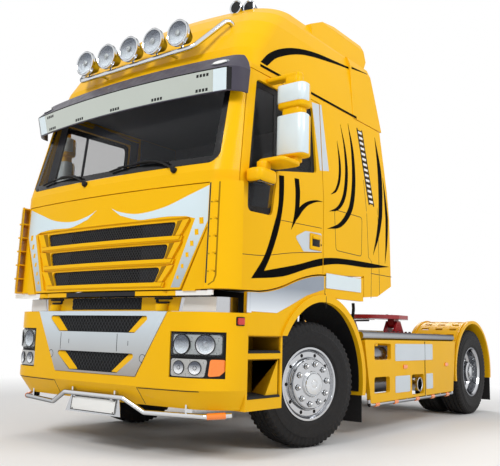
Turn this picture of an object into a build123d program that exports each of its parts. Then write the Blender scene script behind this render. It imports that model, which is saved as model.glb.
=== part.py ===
from build123d import *
import os
from math import cos, radians, sin

os.makedirs("parts", exist_ok=True)

# Frame: X to the truck's left, front toward -Y, Z up, origin on the floor at mid length. Millimetres.
LENGTH = 5900.0
FRONT_Y = -LENGTH / 2
REAR_Y = LENGTH / 2

# Wheels and axles
WHEELBASE = 3700.0
FRONT_AXLE_Y = FRONT_Y + 1450.0
REAR_AXLE_Y = FRONT_AXLE_Y + WHEELBASE
TYRE_R = 522.0
TYRE_W = 300.0
TWIN_TYRE_W = 286.0
TWIN_SPACING = 332.0
FRONT_TYRE_X = 1040.0
REAR_OUTER_TYRE_X = 1092.0
RIM_SEAT_R = 288.0
RIM_FLANGE_R = 304.0
RIM_WALL = 16.0
RIM_W = 250.0
SEAT_FIT = 0.3
SPINDLE_R = 40.0
HUB_BORE_R = SPINDLE_R + SEAT_FIT
KINGPIN_X = 920.0
STEER_REST = 15.0

# Running clearances
RUN_GAP = 8.0
DOOR_GAP = 8.0
SKIN_GAP = 12.0

# Cutting reaches, well past the outermost pieces
ACROSS = (-1400.0, 1400.0)
LEFT_SIDE = (900.0, 1400.0)
RIGHT_SIDE = (-1400.0, -900.0)
FRONT_REACH = (FRONT_Y - 100.0, FRONT_Y + 300.0)

# Ladder frame
RAIL_OUT_X = 425.0
RAIL_FLANGE = 80.0
RAIL_H = 280.0
RAIL_T = 9.0
RAIL_TOP_Z = 980.0
RAIL_FRONT_Y = FRONT_Y + 300.0
RAIL_REAR_Y = REAR_Y - 70.0

# Cab body levels: height, half width, front centre, rear, corner radius
CAB_WALL = 55.0
CAB_LOW_Z = 1225.0
BELT_Z = 2120.0
GUTTER_Z = 3040.0
CAB_LEVELS = [
    dict(z=CAB_LOW_Z, half=1240.0, front=FRONT_Y + 15.0, rear=FRONT_Y + 2190.0, corner=210.0, bulge=85.0),
    dict(z=BELT_Z, half=1240.0, front=FRONT_Y + 45.0, rear=FRONT_Y + 2150.0, corner=190.0, bulge=85.0),
    dict(z=GUTTER_Z, half=1182.0, front=FRONT_Y + 310.0, rear=FRONT_Y + 2090.0, corner=110.0, bulge=60.0),
]
FLOOR_Z = 1420.0
FLOOR_T = 80.0
TILT_Y = FRONT_Y + 205.0
TILT_Z = 1000.0
ARM_W = 52.0
ARM_X = (440.0, 465.0)
ARM_TOP_Y = FRONT_Y + 620.0
ARM_BOSS_R = 30.0
TILT_PIN_R = 16.0
LUG_T = 20.0
LUG_GAP = 6.0

# Doors and windows, in side view
DOOR_FRONT_Y = FRONT_Y + 262.0
DOOR_REAR_Y = FRONT_Y + 1445.0
DOOR_TOP_Z = 2992.0
DOOR_LEAN = 150.0
HINGE_X = 1247.0
HINGE_Y = DOOR_FRONT_Y - 9.0
HINGE_R = 11.0
HINGE_HEIGHTS = [1560.0, 1960.0]
HINGE_L = 90.0
WINDOW_FRAME = 95.0
WINDOW_TOP_Z = 2925.0
WINDOW_R = 45.0
GLASS_T = 6.0
GLASS_IN = 22.0
SCREEN_LOW_Z = 2180.0
SCREEN_TOP_Z = 2935.0
SCREEN_LOW_X = 1130.0
SCREEN_TOP_X = 1085.0

# Front flap with the grille
FLAP_LOW_Z = 1237.0
FLAP_TOP_Z = 2020.0
FLAP_TOP_X = 1092.0
FLAP_HINGE_X = 520.0
FLAP_KNEE_Z = 1740.0
FLAP_LOW_X = 865.0
FLAP_T = 40.0
MESH_T = 6.0

# Bumper levels: height, half width, front centre, corner radius
BUMPER_WALL = 30.0
BUMPER_TOP_Z = 1075.0
BUMPER_REAR_Y = FRONT_Y + 385.0
BUMPER_LEVELS = [
    dict(z=378.0, half=1212.0, front=FRONT_Y + 112.0, corner=340.0),
    dict(z=520.0, half=1245.0, front=FRONT_Y + 10.0, corner=350.0),
    dict(z=BUMPER_TOP_Z, half=1245.0, front=FRONT_Y + 12.0, corner=350.0),
]
BUMPER_BULGE = 75.0

# Side parts
SIDE_X = 1245.0
ARCH_R = 690.0
ARCH_LIP = 62.0
ARCH_LIP_X = 1262.0
ARCH_SHELL_T = 10.0
ARCH_IN_X = 800.0
SKIRT_LOW_Z = 305.0
SKIRT_TOP_Z = 900.0
SKIRT_T = 40.0
STEP_REAR_Y = FRONT_AXLE_Y - 600.0

# Fifth wheel
FIFTH_Y = FRONT_Y + 4750.0
FIFTH_TOP_Z = 1215.0
FIFTH_R = 470.0
FIFTH_T = 50.0
KINGPIN_BORE_R = 26.0
FIFTH_PIVOT_Z = 1110.0


def span(x, y, z):
    size = Box(x[1] - x[0], y[1] - y[0], z[1] - z[0])
    return Pos((x[0] + x[1]) / 2, (y[0] + y[1]) / 2, (z[0] + z[1]) / 2) * size


def poly_face(points, radius=0.0):
    face = make_face(Polyline(*points, close=True))
    return fillet(face.vertices(), radius) if radius else face


def along_x(face, x0, x1):
    return extrude(Plane.YZ.offset(x0) * face, amount=x1 - x0)


def along_y(face, y0, y1):
    return extrude(Plane(origin=(0, y1, 0), x_dir=(1, 0, 0), z_dir=(0, -1, 0)) * face, amount=y1 - y0)


def along_z(face, z0, z1):
    return extrude(Plane.XY.offset(z0) * face, amount=z1 - z0)


def rod_x(r, x0, x1, y, z):
    return Pos((x0 + x1) / 2, y, z) * Rot(0, 90, 0) * Cylinder(r, abs(x1 - x0))


def rod_y(r, x, y0, y1, z):
    return Pos(x, (y0 + y1) / 2, z) * Rot(90, 0, 0) * Cylinder(r, abs(y1 - y0))


def rod_z(r, x, y, z0, z1):
    return Pos(x, y, (z0 + z1) / 2) * Cylinder(r, z1 - z0)


def spin(points):
    # closed profile of (axial, radius) turned about X
    return revolve(make_face(Polyline(*points, close=True)), Axis.X)


def tube(points, r, bend):
    path = FilletPolyline(*points, radius=bend)
    ring = Plane(origin=path @ 0, z_dir=path % 0) * Circle(r)
    return sweep(ring, path=path)


def flip(shape):
    return mirror(shape, about=Plane.YZ)


def fuse(*shapes):
    out = shapes[0]
    for shape in shapes[1:]:
        out = out + shape
    return out


def save(node, *shapes):
    solids = [s for shape in shapes for s in shape.solids()]
    body = solids[0] if len(solids) == 1 else Compound(solids)
    export_step(body, f"parts/{node}.step")


def save_pair(node, shape):
    save(node + "_left", shape)
    save(node + "_right", flip(shape))


def save_both(node, *shapes):
    save(node, *shapes, *[flip(shape) for shape in shapes])


# Plan outlines and lofts for the cab and the bumper
def plan_face(z, half, front, rear, corner, bulge):
    arc = ThreePointArc((-half, front + bulge), (0, front), (half, front + bulge))
    rest = Polyline((half, front + bulge), (half, rear), (-half, rear), (-half, front + bulge))
    face = make_face(arc + rest)
    ends = face.vertices().sort_by(Axis.Y)[:2]
    return Pos(0, 0, z) * fillet(ends, corner)


def cab_loft(inset, low=0.0, high=0.0, tail=0.0):
    faces = []
    for i, lv in enumerate(CAB_LEVELS):
        z = lv["z"] + (low if i == 0 else high if i == len(CAB_LEVELS) - 1 else 0.0)
        faces.append(plan_face(z, lv["half"] - inset, lv["front"] + inset, lv["rear"] - inset + tail,
                               lv["corner"] - inset, lv["bulge"]))
    return loft(faces, ruled=True)


def bumper_loft(inset, grow=0.0):
    faces = []
    for i, lv in enumerate(BUMPER_LEVELS):
        z = lv["z"] + (-grow if i == 0 else grow if i == len(BUMPER_LEVELS) - 1 else 0.0)
        faces.append(plan_face(z, lv["half"] - inset, lv["front"] + inset, BUMPER_REAR_Y + 240.0,
                               lv["corner"] - inset, BUMPER_BULGE))
    return loft(faces, ruled=True)


# The curved line that ends the doors and cab sides at the bottom
def sill_edges(drop):
    a, b, c, d = (-2420.0, 1252.0), (-2010.0, 1344.0), (-1560.0, 1447.0), (-700.0, 1492.0)
    low = [(FRONT_Y - 100.0, 1232.0 - drop), (a[0], a[1] - drop)]
    first = ThreePointArc((a[0], a[1] - drop), (-2200.0, 1288.0 - drop), (b[0], b[1] - drop))
    second = ThreePointArc((b[0], b[1] - drop), (-1800.0, 1406.0 - drop), (c[0], c[1] - drop))
    return Line(*low) + first + second + Line((c[0], c[1] - drop), (d[0], d[1] - drop))


def under_sill(drop, bottom):
    line = sill_edges(drop)
    start, end = (FRONT_Y - 100.0, 1232.0 - drop), (-700.0, 1492.0 - drop)
    closing = Polyline(end, (end[0], bottom), (start[0], bottom), start)
    return make_face(line + closing)


def door_face(grow):
    f, r = DOOR_FRONT_Y - grow, DOOR_REAR_Y + grow
    lean = (DOOR_TOP_Z - BELT_Z)
    top = DOOR_TOP_Z + grow
    return poly_face([(f, 1100.0), (f, BELT_Z), (f + DOOR_LEAN * (top - BELT_Z) / lean, top), (r, top),
                      (r, 1100.0)])


def window_face():
    f = DOOR_FRONT_Y + WINDOW_FRAME
    r = DOOR_REAR_Y - WINDOW_FRAME
    pts = [(f, 1838.0), (f + 315.0, 1846.0), (f + 385.0, 2222.0), (r, 2330.0), (r - 20.0, WINDOW_TOP_Z),
           (f + DOOR_LEAN * 0.95, WINDOW_TOP_Z), (f, BELT_Z)]
    return poly_face(pts, WINDOW_R)


def screen_face():
    return poly_face([(-SCREEN_LOW_X, SCREEN_LOW_Z), (SCREEN_LOW_X, SCREEN_LOW_Z),
                      (SCREEN_TOP_X, SCREEN_TOP_Z), (-SCREEN_TOP_X, SCREEN_TOP_Z)], 90.0)


def flap_face(grow):
    return poly_face([(-FLAP_LOW_X - grow, FLAP_LOW_Z - grow * 4), (FLAP_LOW_X + grow, FLAP_LOW_Z - grow * 4),
                      (FLAP_TOP_X + grow, FLAP_KNEE_Z), (FLAP_TOP_X + grow, FLAP_TOP_Z + grow),
                      (-FLAP_TOP_X - grow, FLAP_TOP_Z + grow), (-FLAP_TOP_X - grow, FLAP_KNEE_Z)])


# Cab panels
cab_outer = cab_loft(0.0)
cab_inner = cab_loft(CAB_WALL, -1.0, 1.0)
walls = cab_outer - cab_inner
side_low = under_sill(0.0, 1000.0)
sides_cut = along_x(side_low, 1000.0, 1400.0) + along_x(side_low, -1400.0, -1000.0)
door_gap = along_x(door_face(DOOR_GAP), *LEFT_SIDE) + along_x(door_face(DOOR_GAP), *RIGHT_SIDE)
screen_cut = along_y(screen_face(), FRONT_Y - 100.0, FRONT_Y + 700.0)
flap_gap = along_y(flap_face(DOOR_GAP), *FRONT_REACH)

front_zone = span(ACROSS, (FRONT_Y - 100, DOOR_REAR_Y + DOOR_GAP), (1200, GUTTER_Z))
back_y = CAB_LEVELS[-1]["rear"] - CAB_WALL
side_zone = span(LEFT_SIDE, (DOOR_REAR_Y + DOOR_GAP, back_y), (1200, GUTTER_Z))
back_zone = span(ACROSS, (back_y, FRONT_Y + 2300), (FLOOR_Z - FLOOR_T, GUTTER_Z))
back_side = span(ACROSS, (back_y, FRONT_Y + 2300), (1200, GUTTER_Z))

cab_front = walls & front_zone
cab_front = cab_front - door_gap - screen_cut - flap_gap - sides_cut
# Hinge blocks that the flap's top edge turns under
for sx in (-1, 1):
    block = span((sx * FLAP_HINGE_X - 45, sx * FLAP_HINGE_X + 45), (FRONT_Y, FRONT_Y + 300),
                 (FLAP_TOP_Z + SEAT_FIT, FLAP_TOP_Z + DOOR_GAP + 2))
    cab_front = cab_front + (block & (cab_loft(12.0, -1.0, 1.0) - cab_inner))
for hz in HINGE_HEIGHTS:
    half_l = HINGE_L / 2 + RUN_GAP
    pocket = rod_z(HINGE_R + RUN_GAP, HINGE_X, HINGE_Y, hz - half_l, hz + half_l)
    cab_front = cab_front - pocket - flip(pocket)
save("cab_front_frame", cab_front)

cab_side = (walls & side_zone) - sides_cut
save_both("cab_sides", cab_side)

cab_back = (walls & back_zone) - sides_cut
save("cab_back_wall", cab_back)

floor = cab_inner & span(ACROSS, (FRONT_Y, FRONT_Y + 2300), (FLOOR_Z - FLOOR_T, FLOOR_Z))
arm_top_z = FLOOR_Z - FLOOR_T + 2.0
arm_face = poly_face([(TILT_Y - 13, TILT_Z + 15), (TILT_Y + 13, TILT_Z - 15),
                      (ARM_TOP_Y + ARM_W / 2, arm_top_z), (ARM_TOP_Y - ARM_W / 2, arm_top_z)])
tilt_arm = along_x(arm_face, *ARM_X)
tilt_arm = tilt_arm + rod_x(ARM_BOSS_R, *ARM_X, TILT_Y, TILT_Z)
tilt_arm = tilt_arm - rod_x(TILT_PIN_R + SEAT_FIT, ARM_X[0] - 1, ARM_X[1] + 1, TILT_Y, TILT_Z)
floor = floor + tilt_arm + flip(tilt_arm)
save("cab_floor", floor)

# Doors
door_blank = (walls & along_x(door_face(0.0), *LEFT_SIDE)) - sides_cut
window_cut = along_x(window_face(), *LEFT_SIDE)
door = door_blank - window_cut
for hz in HINGE_HEIGHTS:
    door = door + rod_z(HINGE_R, HINGE_X, HINGE_Y, hz - HINGE_L / 2, hz + HINGE_L / 2)
    door = door + span((HINGE_X - HINGE_R - 4, HINGE_X - 2), (HINGE_Y, DOOR_FRONT_Y + 6),
                       (hz - HINGE_L / 2, hz + HINGE_L / 2))
save_pair("door", door)

glass_zone = cab_loft(GLASS_IN) - cab_loft(GLASS_IN + GLASS_T, -1.0, 1.0)
save_pair("door_glass", glass_zone & window_cut)
screen_zone = cab_loft(8.0) - cab_loft(8.0 + GLASS_T + 2.0, -1.0, 1.0)
save("windscreen", screen_zone & screen_cut)

# Front flap with the grille
SLOTS = [
    dict(top=1750.0, low=1640.0, top_x=780.0, low_x=745.0),
    dict(top=1582.0, low=1468.0, top_x=715.0, low_x=680.0),
    dict(top=1408.0, low=1293.0, top_x=655.0, low_x=600.0),
]
FIELD_DEPTH = 16.0
# Slat layers: how far each stands out of the cab's face, its height, its reach past the slot
LIPS = [(0.0, 40.0, 96.0), (9.0, 30.0, 84.0)]
LIP_FLARE = 14.0
SLOT_R = 25.0
flap = (cab_outer - cab_loft(FLAP_T, -1.0, 1.0)) & along_y(flap_face(0.0), *FRONT_REACH)
field = poly_face([(-735, 1250), (735, 1250), (940, 1775), (-940, 1775)], 30.0)
flap = flap - ((cab_loft(-60.0) - cab_loft(FIELD_DEPTH, -1.0, 1.0)) & along_y(field, *FRONT_REACH))
for s in SLOTS:
    hole = poly_face([(-s["low_x"], s["low"]), (s["low_x"], s["low"]), (s["top_x"], s["top"]),
                      (-s["top_x"], s["top"])], SLOT_R)
    flap = flap - along_y(hole, *FRONT_REACH)
for s in SLOTS:
    for proud, tall, wide in LIPS:
        reach, lip_low, lip_top = s["low_x"] + wide, s["low"] - tall, s["low"] - 2.0
        lip = poly_face([(-reach, lip_low), (reach, lip_low), (reach + LIP_FLARE, lip_top),
                         (-reach - LIP_FLARE, lip_top)])
        flap = flap + ((cab_loft(-proud) - cab_loft(FLAP_T - 4.0, -1.0, 1.0)) & along_y(lip, *FRONT_REACH))
save("front_flap", flap)
mesh_zone = cab_loft(FLAP_T, -1.0, 1.0) - cab_loft(FLAP_T + MESH_T, -1.0, 1.0)
mesh_face = poly_face([(-640, 1262), (640, 1262), (815, 1790), (-815, 1790)])
save("grille_mesh", mesh_zone & along_y(mesh_face, *FRONT_REACH))

# Corner air deflectors, each a vane on ribs
DEFLECT_OUT = 62.0
DEFLECT_T = 14.0
DEFLECT_TOP = 2030.0
DEFLECT_LOW = 1240.0
RIB_T = 10.0
RIB_HEIGHTS = [1246.0, 1372.0, 1498.0, 1624.0, 1750.0, 1876.0, 2020.0]
deflect_zone = span((1125, 1400), (FRONT_Y - 100, HINGE_Y - HINGE_R - RUN_GAP), (DEFLECT_LOW, DEFLECT_TOP))
vane = (cab_loft(-DEFLECT_OUT) - cab_loft(DEFLECT_T - DEFLECT_OUT, -1.0, 1.0)) & deflect_zone
filler = (cab_loft(DEFLECT_T - DEFLECT_OUT - 2.0) - cab_outer) & deflect_zone
for rib_z in RIB_HEIGHTS:
    vane = vane + (filler & span(LEFT_SIDE, (FRONT_Y - 100, 0), (rib_z - RIB_T / 2, rib_z + RIB_T / 2)))
save_both("corner_deflectors", vane)

# Roof levels: height, half width, front set-back, corner radius, bulge
ROOF_T = 45.0
ROOF_REAR_Y = FRONT_Y + 2080.0
ROOF_LEVELS = [
    dict(z=GUTTER_Z, half=1184.0, front=312.0, corner=200.0, bulge=70.0),
    dict(z=3200.0, half=1170.0, front=345.0, corner=220.0, bulge=85.0),
    dict(z=3360.0, half=1155.0, front=425.0, corner=245.0, bulge=105.0),
    dict(z=3520.0, half=1135.0, front=530.0, corner=265.0, bulge=120.0),
    dict(z=3660.0, half=1100.0, front=655.0, corner=285.0, bulge=135.0),
    dict(z=3770.0, half=1045.0, front=790.0, corner=300.0, bulge=150.0),
    dict(z=3850.0, half=950.0, front=985.0, corner=300.0, bulge=150.0),
    dict(z=3895.0, half=780.0, front=1260.0, corner=260.0, bulge=130.0),
]


def roof_loft(inset):
    faces = []
    for i, lv in enumerate(ROOF_LEVELS):
        drop = inset * i / (len(ROOF_LEVELS) - 1) + (1.0 if inset and i == 0 else 0.0)
        faces.append(plan_face(lv["z"] - drop, lv["half"] - inset, FRONT_Y + lv["front"] + inset,
                               ROOF_REAR_Y - inset, lv["corner"] - inset, lv["bulge"]))
    return loft(faces, ruled=True)


roof_outer = roof_loft(0.0)
save("roof", roof_outer - roof_loft(ROOF_T))

# Wheels: shoulder and crown of the tread, radii along the side wall, width of a rim's lip
SHOULDER = 34.0
CROWN = 5.0
WALL_WIDE_R = 410.0
WALL_LOW_R = 340.0
RIM_LIP = 16.0
WHEEL_HOLES = 10


def wheel_place(shape, x, y, steer):
    spot = Pos(x, y, TYRE_R) * shape
    if steer:
        spot = Pos(KINGPIN_X, y, 0) * Rot(0, 0, -steer) * Pos(-KINGPIN_X, -y, 0) * spot
    return spot


def tyre(width):
    w = width / 2
    b = RIM_W / 2 - RIM_LIP
    right = [(w - SHOULDER, TYRE_R - CROWN), (w - 10, TYRE_R - SHOULDER), (w, WALL_WIDE_R), (w - 8, WALL_LOW_R),
             (b + 6, RIM_FLANGE_R), (b, RIM_SEAT_R)]
    left = [(-x, r) for x, r in reversed(right)]
    crown = ThreePointArc(left[-1], (0, TYRE_R), right[0])
    return revolve(make_face(Polyline(*right, *left) + crown), Axis.X)


def barrel(width):
    w = width / 2
    right = [(w - RIM_LIP, RIM_SEAT_R), (w - 10, RIM_FLANGE_R), (w, RIM_FLANGE_R), (w, RIM_SEAT_R),
             (w - 24, RIM_SEAT_R - RIM_WALL)]
    return spin(right + [(-x, r) for x, r in reversed(right)])


def ring_holes(shape, count, at_r, r, x0, x1):
    for i in range(count):
        a = radians(360.0 / count * i)
        shape = shape - rod_x(r, x0, x1, at_r * cos(a), at_r * sin(a))
    return shape


seat_in = RIM_SEAT_R - RIM_WALL
# Disc profiles as (axial place, radius), from the rim seat in over the outer face and back behind it
front_disc = spin([(96, seat_in + 2), (104, 264), (104, 224), (98, 214), (150, 206), (158, 198), (158, 108),
                   (166, 100), (166, 0), (128, 0), (128, HUB_BORE_R), (0, HUB_BORE_R), (0, 95), (130, 110),
                   (130, 190), (86, 200), (86, 250), (76, seat_in + 2)])
front_disc = ring_holes(front_disc, WHEEL_HOLES, 244, 16, 60, 140)
front_rim = barrel(RIM_W) + front_disc

twin_disc_x = REAR_OUTER_TYRE_X - TWIN_SPACING / 2
rear_disc = spin([(10, seat_in + 2), (-20, 250), (-24, 190), (-24, 135), (95, 122), (108, 100),
                  (110, 0), (-40, 0), (-40, HUB_BORE_R), (-300, HUB_BORE_R), (-300, 100), (-60, 110),
                  (-60, 190), (-40, 240), (-20, seat_in + 2)])
rear_disc = ring_holes(rear_disc, WHEEL_HOLES, 220, 24, -100, 60)
twin_inner = REAR_OUTER_TYRE_X - TWIN_SPACING
rear_wheel = (Pos(REAR_OUTER_TYRE_X, 0, 0) * (barrel(RIM_W) + rear_disc)
              + Pos(twin_inner, 0, 0) * barrel(RIM_W)
              + Pos(twin_disc_x, 0, 0) * spin([(-50, RIM_SEAT_R - RIM_WALL), (50, RIM_SEAT_R - RIM_WALL),
                                              (50, RIM_SEAT_R), (-50, RIM_SEAT_R)]))

save("front_tyre_left", wheel_place(tyre(TYRE_W), FRONT_TYRE_X, FRONT_AXLE_Y, STEER_REST))
save("front_rim_left", wheel_place(front_rim, FRONT_TYRE_X, FRONT_AXLE_Y, STEER_REST))


def right_front(shape):
    # the right wheel, mirrored first and then turned the same way about its own kingpin
    spot = flip(Pos(FRONT_TYRE_X, FRONT_AXLE_Y, TYRE_R) * shape)
    return Pos(-KINGPIN_X, FRONT_AXLE_Y, 0) * Rot(0, 0, -STEER_REST) * Pos(KINGPIN_X, -FRONT_AXLE_Y, 0) * spot


save("front_tyre_right", right_front(tyre(TYRE_W)))
save("front_rim_right", right_front(front_rim))
rear_tyres = (Pos(REAR_OUTER_TYRE_X, REAR_AXLE_Y, TYRE_R) * tyre(TWIN_TYRE_W),
              Pos(twin_inner, REAR_AXLE_Y, TYRE_R) * tyre(TWIN_TYRE_W))
save("rear_tyres_left", *rear_tyres)
save("rear_tyres_right", *[flip(t) for t in rear_tyres])
rear_wheel_at = Pos(0, REAR_AXLE_Y, TYRE_R) * rear_wheel
save("rear_rims_left", rear_wheel_at)
save("rear_rims_right", flip(rear_wheel_at))

# Knuckles and front axle
EYE_R = 55.0
EYE_H = 150.0
EAR_T = 42.0
PIN_R = 24.0
cheek_x = KINGPIN_X + EYE_R + RUN_GAP
eye_low, eye_top = TYRE_R - EYE_H / 2, TYRE_R + EYE_H / 2
ear_low = (eye_low - RUN_GAP - EAR_T, eye_low - RUN_GAP)
ear_top = (eye_top + RUN_GAP, eye_top + RUN_GAP + EAR_T)
knuckle = span((cheek_x, cheek_x + 45), (-70, 70), (ear_low[0], ear_top[1]))
for ear in (ear_low, ear_top):
    knuckle = knuckle + rod_z(52, KINGPIN_X, 0, *ear) + span((KINGPIN_X, cheek_x + 10), (-52, 52), ear)
knuckle = knuckle + rod_z(PIN_R, KINGPIN_X, 0, ear_low[0], ear_top[1])
knuckle = knuckle + rod_x(SPINDLE_R, cheek_x + 20, FRONT_TYRE_X + 118, 0, TYRE_R)
knuckle = knuckle + span((KINGPIN_X - 18, KINGPIN_X + 18), (40, 215), (ear_low[0], ear_low[1] - 6))
knuckle = Pos(0, FRONT_AXLE_Y, 0) * knuckle
turn_left = Pos(KINGPIN_X, FRONT_AXLE_Y, 0) * Rot(0, 0, -STEER_REST) * Pos(-KINGPIN_X, -FRONT_AXLE_Y, 0)
turn_right = Pos(-KINGPIN_X, FRONT_AXLE_Y, 0) * Rot(0, 0, -STEER_REST) * Pos(KINGPIN_X, -FRONT_AXLE_Y, 0)
save("knuckle_left", turn_left * knuckle)
save("knuckle_right", turn_right * flip(knuckle))

BEAM_DROP = 130.0
SPRING_X = 385.0
BEAM_W = 96.0
beam_low, beam_top = eye_low + 25, eye_top - 25
half_beam = [(620, eye_low - BEAM_DROP + 60), (KINGPIN_X - 120, beam_low), (KINGPIN_X, beam_low),
             (KINGPIN_X, beam_top), (KINGPIN_X - 150, beam_top), (600, eye_low + 50)]
beam_face = poly_face(half_beam + [(-x, z) for x, z in reversed(half_beam)])
beam = along_y(beam_face, -BEAM_W / 2, BEAM_W / 2)
for sx in (-KINGPIN_X, KINGPIN_X):
    beam = beam + rod_z(EYE_R, sx, 0, eye_low, eye_top)
for sx in (-KINGPIN_X, KINGPIN_X):
    beam = beam - rod_z(PIN_R + SEAT_FIT, sx, 0, eye_low - 1, eye_top + 1)
save("front_axle_beam", Pos(0, FRONT_AXLE_Y, 0) * beam)

# Rear axle and its air bellows
REAR_TUBE_R = 78.0
DIFF_R = 235.0
rear_axle = rod_x(REAR_TUBE_R, -620, 620, REAR_AXLE_Y, TYRE_R)
rear_axle = rear_axle + rod_x(SPINDLE_R, -twin_disc_x - 90, twin_disc_x + 90, REAR_AXLE_Y, TYRE_R)
rear_axle = rear_axle + Pos(0, REAR_AXLE_Y, TYRE_R) * Sphere(DIFF_R)
rear_axle = rear_axle + rod_y(95, 0, REAR_AXLE_Y - 340, REAR_AXLE_Y, TYRE_R)

spring_seat_z = eye_low + 50
SPRING_HALF_L = 680.0
SPRING_W = 80.0
SPRING_T = 48.0
spring_end_z = (655.0, RAIL_TOP_Z - RAIL_H)
y0, y1 = FRONT_AXLE_Y - SPRING_HALF_L, FRONT_AXLE_Y + SPRING_HALF_L
under_leaf = ThreePointArc((y0, spring_end_z[0]), (FRONT_AXLE_Y, spring_seat_z), (y1, spring_end_z[0]))
leaf_face = make_face(under_leaf + Polyline((y1, spring_end_z[0]), (y1, spring_end_z[1]), (y0, spring_end_z[1]),
                                            (y0, spring_end_z[0])))
in0, in1, over_z = (y0 + 20, spring_end_z[1] + 1), (y1 - 20, spring_end_z[1] + 1), spring_seat_z + SPRING_T
over_leaf = make_face(ThreePointArc(in0, (FRONT_AXLE_Y, over_z), in1) + Line(in1, in0))
springs = []
for sx in (-SPRING_X, SPRING_X):
    leaf = along_x(leaf_face, sx - SPRING_W / 2, sx + SPRING_W / 2)
    springs.append(leaf - along_x(over_leaf, sx - SPRING_W, sx + SPRING_W))
save("front_springs", *springs)

BELLOW_R = 120.0
bellows = []
for sx in (-1, 1):
    for dy in (-430, 430):
        bellows.append(rod_z(BELLOW_R, sx * (RAIL_OUT_X - 40), REAR_AXLE_Y + dy, 440, RAIL_TOP_Z - RAIL_H))
save("air_bellows", *bellows)
for sx in (-1, 1):
    cx = sx * (RAIL_OUT_X - 40)
    rear_axle = rear_axle + span((cx - 55, cx + 55), (REAR_AXLE_Y - 560, REAR_AXLE_Y + 560), (395, 440))
    rear_axle = rear_axle + span((cx - 55, cx + 55), (REAR_AXLE_Y - 70, REAR_AXLE_Y + 70), (430, TYRE_R))
save("rear_axle", rear_axle)

# Ladder frame
low_rail = RAIL_TOP_Z - RAIL_H
web_in = RAIL_OUT_X - RAIL_T
flange_in = RAIL_OUT_X - RAIL_FLANGE
channel = poly_face([(RAIL_OUT_X, low_rail), (RAIL_OUT_X, RAIL_TOP_Z), (flange_in, RAIL_TOP_Z),
                     (flange_in, RAIL_TOP_Z - RAIL_T), (web_in, RAIL_TOP_Z - RAIL_T),
                     (web_in, low_rail + RAIL_T), (flange_in, low_rail + RAIL_T), (flange_in, low_rail)])
rail = along_y(channel, RAIL_FRONT_Y, RAIL_REAR_Y)
save_both("frame_rails", rail)
CROSS_W = 120.0
CROSS_TOP_Z = RAIL_TOP_Z - 40.0
CROSS_LOW_Z = CROSS_TOP_Z - 200.0
cross_parts = []
for cy in (RAIL_FRONT_Y + CROSS_W / 2, -130, 520, 1240, 2580):
    cross_parts.append(span((-web_in, web_in), (cy - CROSS_W / 2, cy + CROSS_W / 2), (CROSS_LOW_Z, CROSS_TOP_Z)))
save("crossmembers", *cross_parts)

# Engine and gearbox as one plain block
ENGINE_REAR_Y = -1000.0
ENGINE_TOP_Z = 1310.0
GEARBOX_REAR_Y = -200.0
MOUNT_W = 120.0
mount_z = (low_rail + 60, low_rail + 120)
engine = span((-330, 330), (-2300, ENGINE_REAR_Y), (low_rail - 160, ENGINE_TOP_Z))
engine = engine + span((-290, 290), (ENGINE_REAR_Y, GEARBOX_REAR_Y), (560, 950))
for ey in (-2050, -1200, -500):
    engine = engine + span((-web_in, web_in), (ey - MOUNT_W / 2, ey + MOUNT_W / 2), mount_z)
save("engine_block", engine)

# Fifth wheel
def fifth_plate():
    w, b = FIFTH_R, KINGPIN_BORE_R
    right = [(w, -120), (w, 150), (w - 120, 420), (150, 420), (b + 6, 120), (b, 0)]
    left = [(-x, y) for x, y in reversed(right)]
    front = ThreePointArc(left[-1], (0, 40 - w), right[0])
    bore = ThreePointArc(right[-1], (0, -b), left[0])
    return make_face(front + Polyline(*right) + bore + Polyline(*left))


PIVOT_X = 330.0
PIVOT_R = 30.0
PIVOT_PAD_R = 60.0
PAD_HALF = 45.0
FIFTH_EAR_T = 24.0
FIFTH_EAR_OFF = 68.0
BASE_T = 14.0
plate = Pos(0, FIFTH_Y, 0) * along_z(fifth_plate(), FIFTH_TOP_Z - FIFTH_T, FIFTH_TOP_Z)
for px in (-PIVOT_X, PIVOT_X):
    pad_x = (px - PAD_HALF, px + PAD_HALF)
    plate = plate + span(pad_x, (FIFTH_Y - 70, FIFTH_Y + 70), (FIFTH_PIVOT_Z, FIFTH_TOP_Z - FIFTH_T + 5))
    plate = plate + rod_x(PIVOT_PAD_R, *pad_x, FIFTH_Y, FIFTH_PIVOT_Z)
    plate = plate - rod_x(PIVOT_R + SEAT_FIT, pad_x[0] - 15, pad_x[1] + 15, FIFTH_Y, FIFTH_PIVOT_Z)
save("fifth_wheel_plate", plate)
base_x, ear_low_z, ear_top_z = RAIL_OUT_X + 20, RAIL_TOP_Z + 10, FIFTH_PIVOT_Z + 30
base = span((-base_x, base_x), (FIFTH_Y - 330, FIFTH_Y + 330), (RAIL_TOP_Z, RAIL_TOP_Z + BASE_T))
ear_face = poly_face([(-150, ear_low_z), (150, ear_low_z), (48, ear_top_z), (-48, ear_top_z)])
for px in (-PIVOT_X, PIVOT_X):
    for ex in (px - FIFTH_EAR_OFF, px + FIFTH_EAR_OFF):
        ear = along_x(ear_face, ex - FIFTH_EAR_T / 2, ex + FIFTH_EAR_T / 2)
        base = base + Pos(0, FIFTH_Y, 0) * ear
    base = base + rod_x(PIVOT_R, px - FIFTH_EAR_OFF - 2, px + FIFTH_EAR_OFF + 2, FIFTH_Y, FIFTH_PIVOT_Z)
save("fifth_wheel_base", base)

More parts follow.
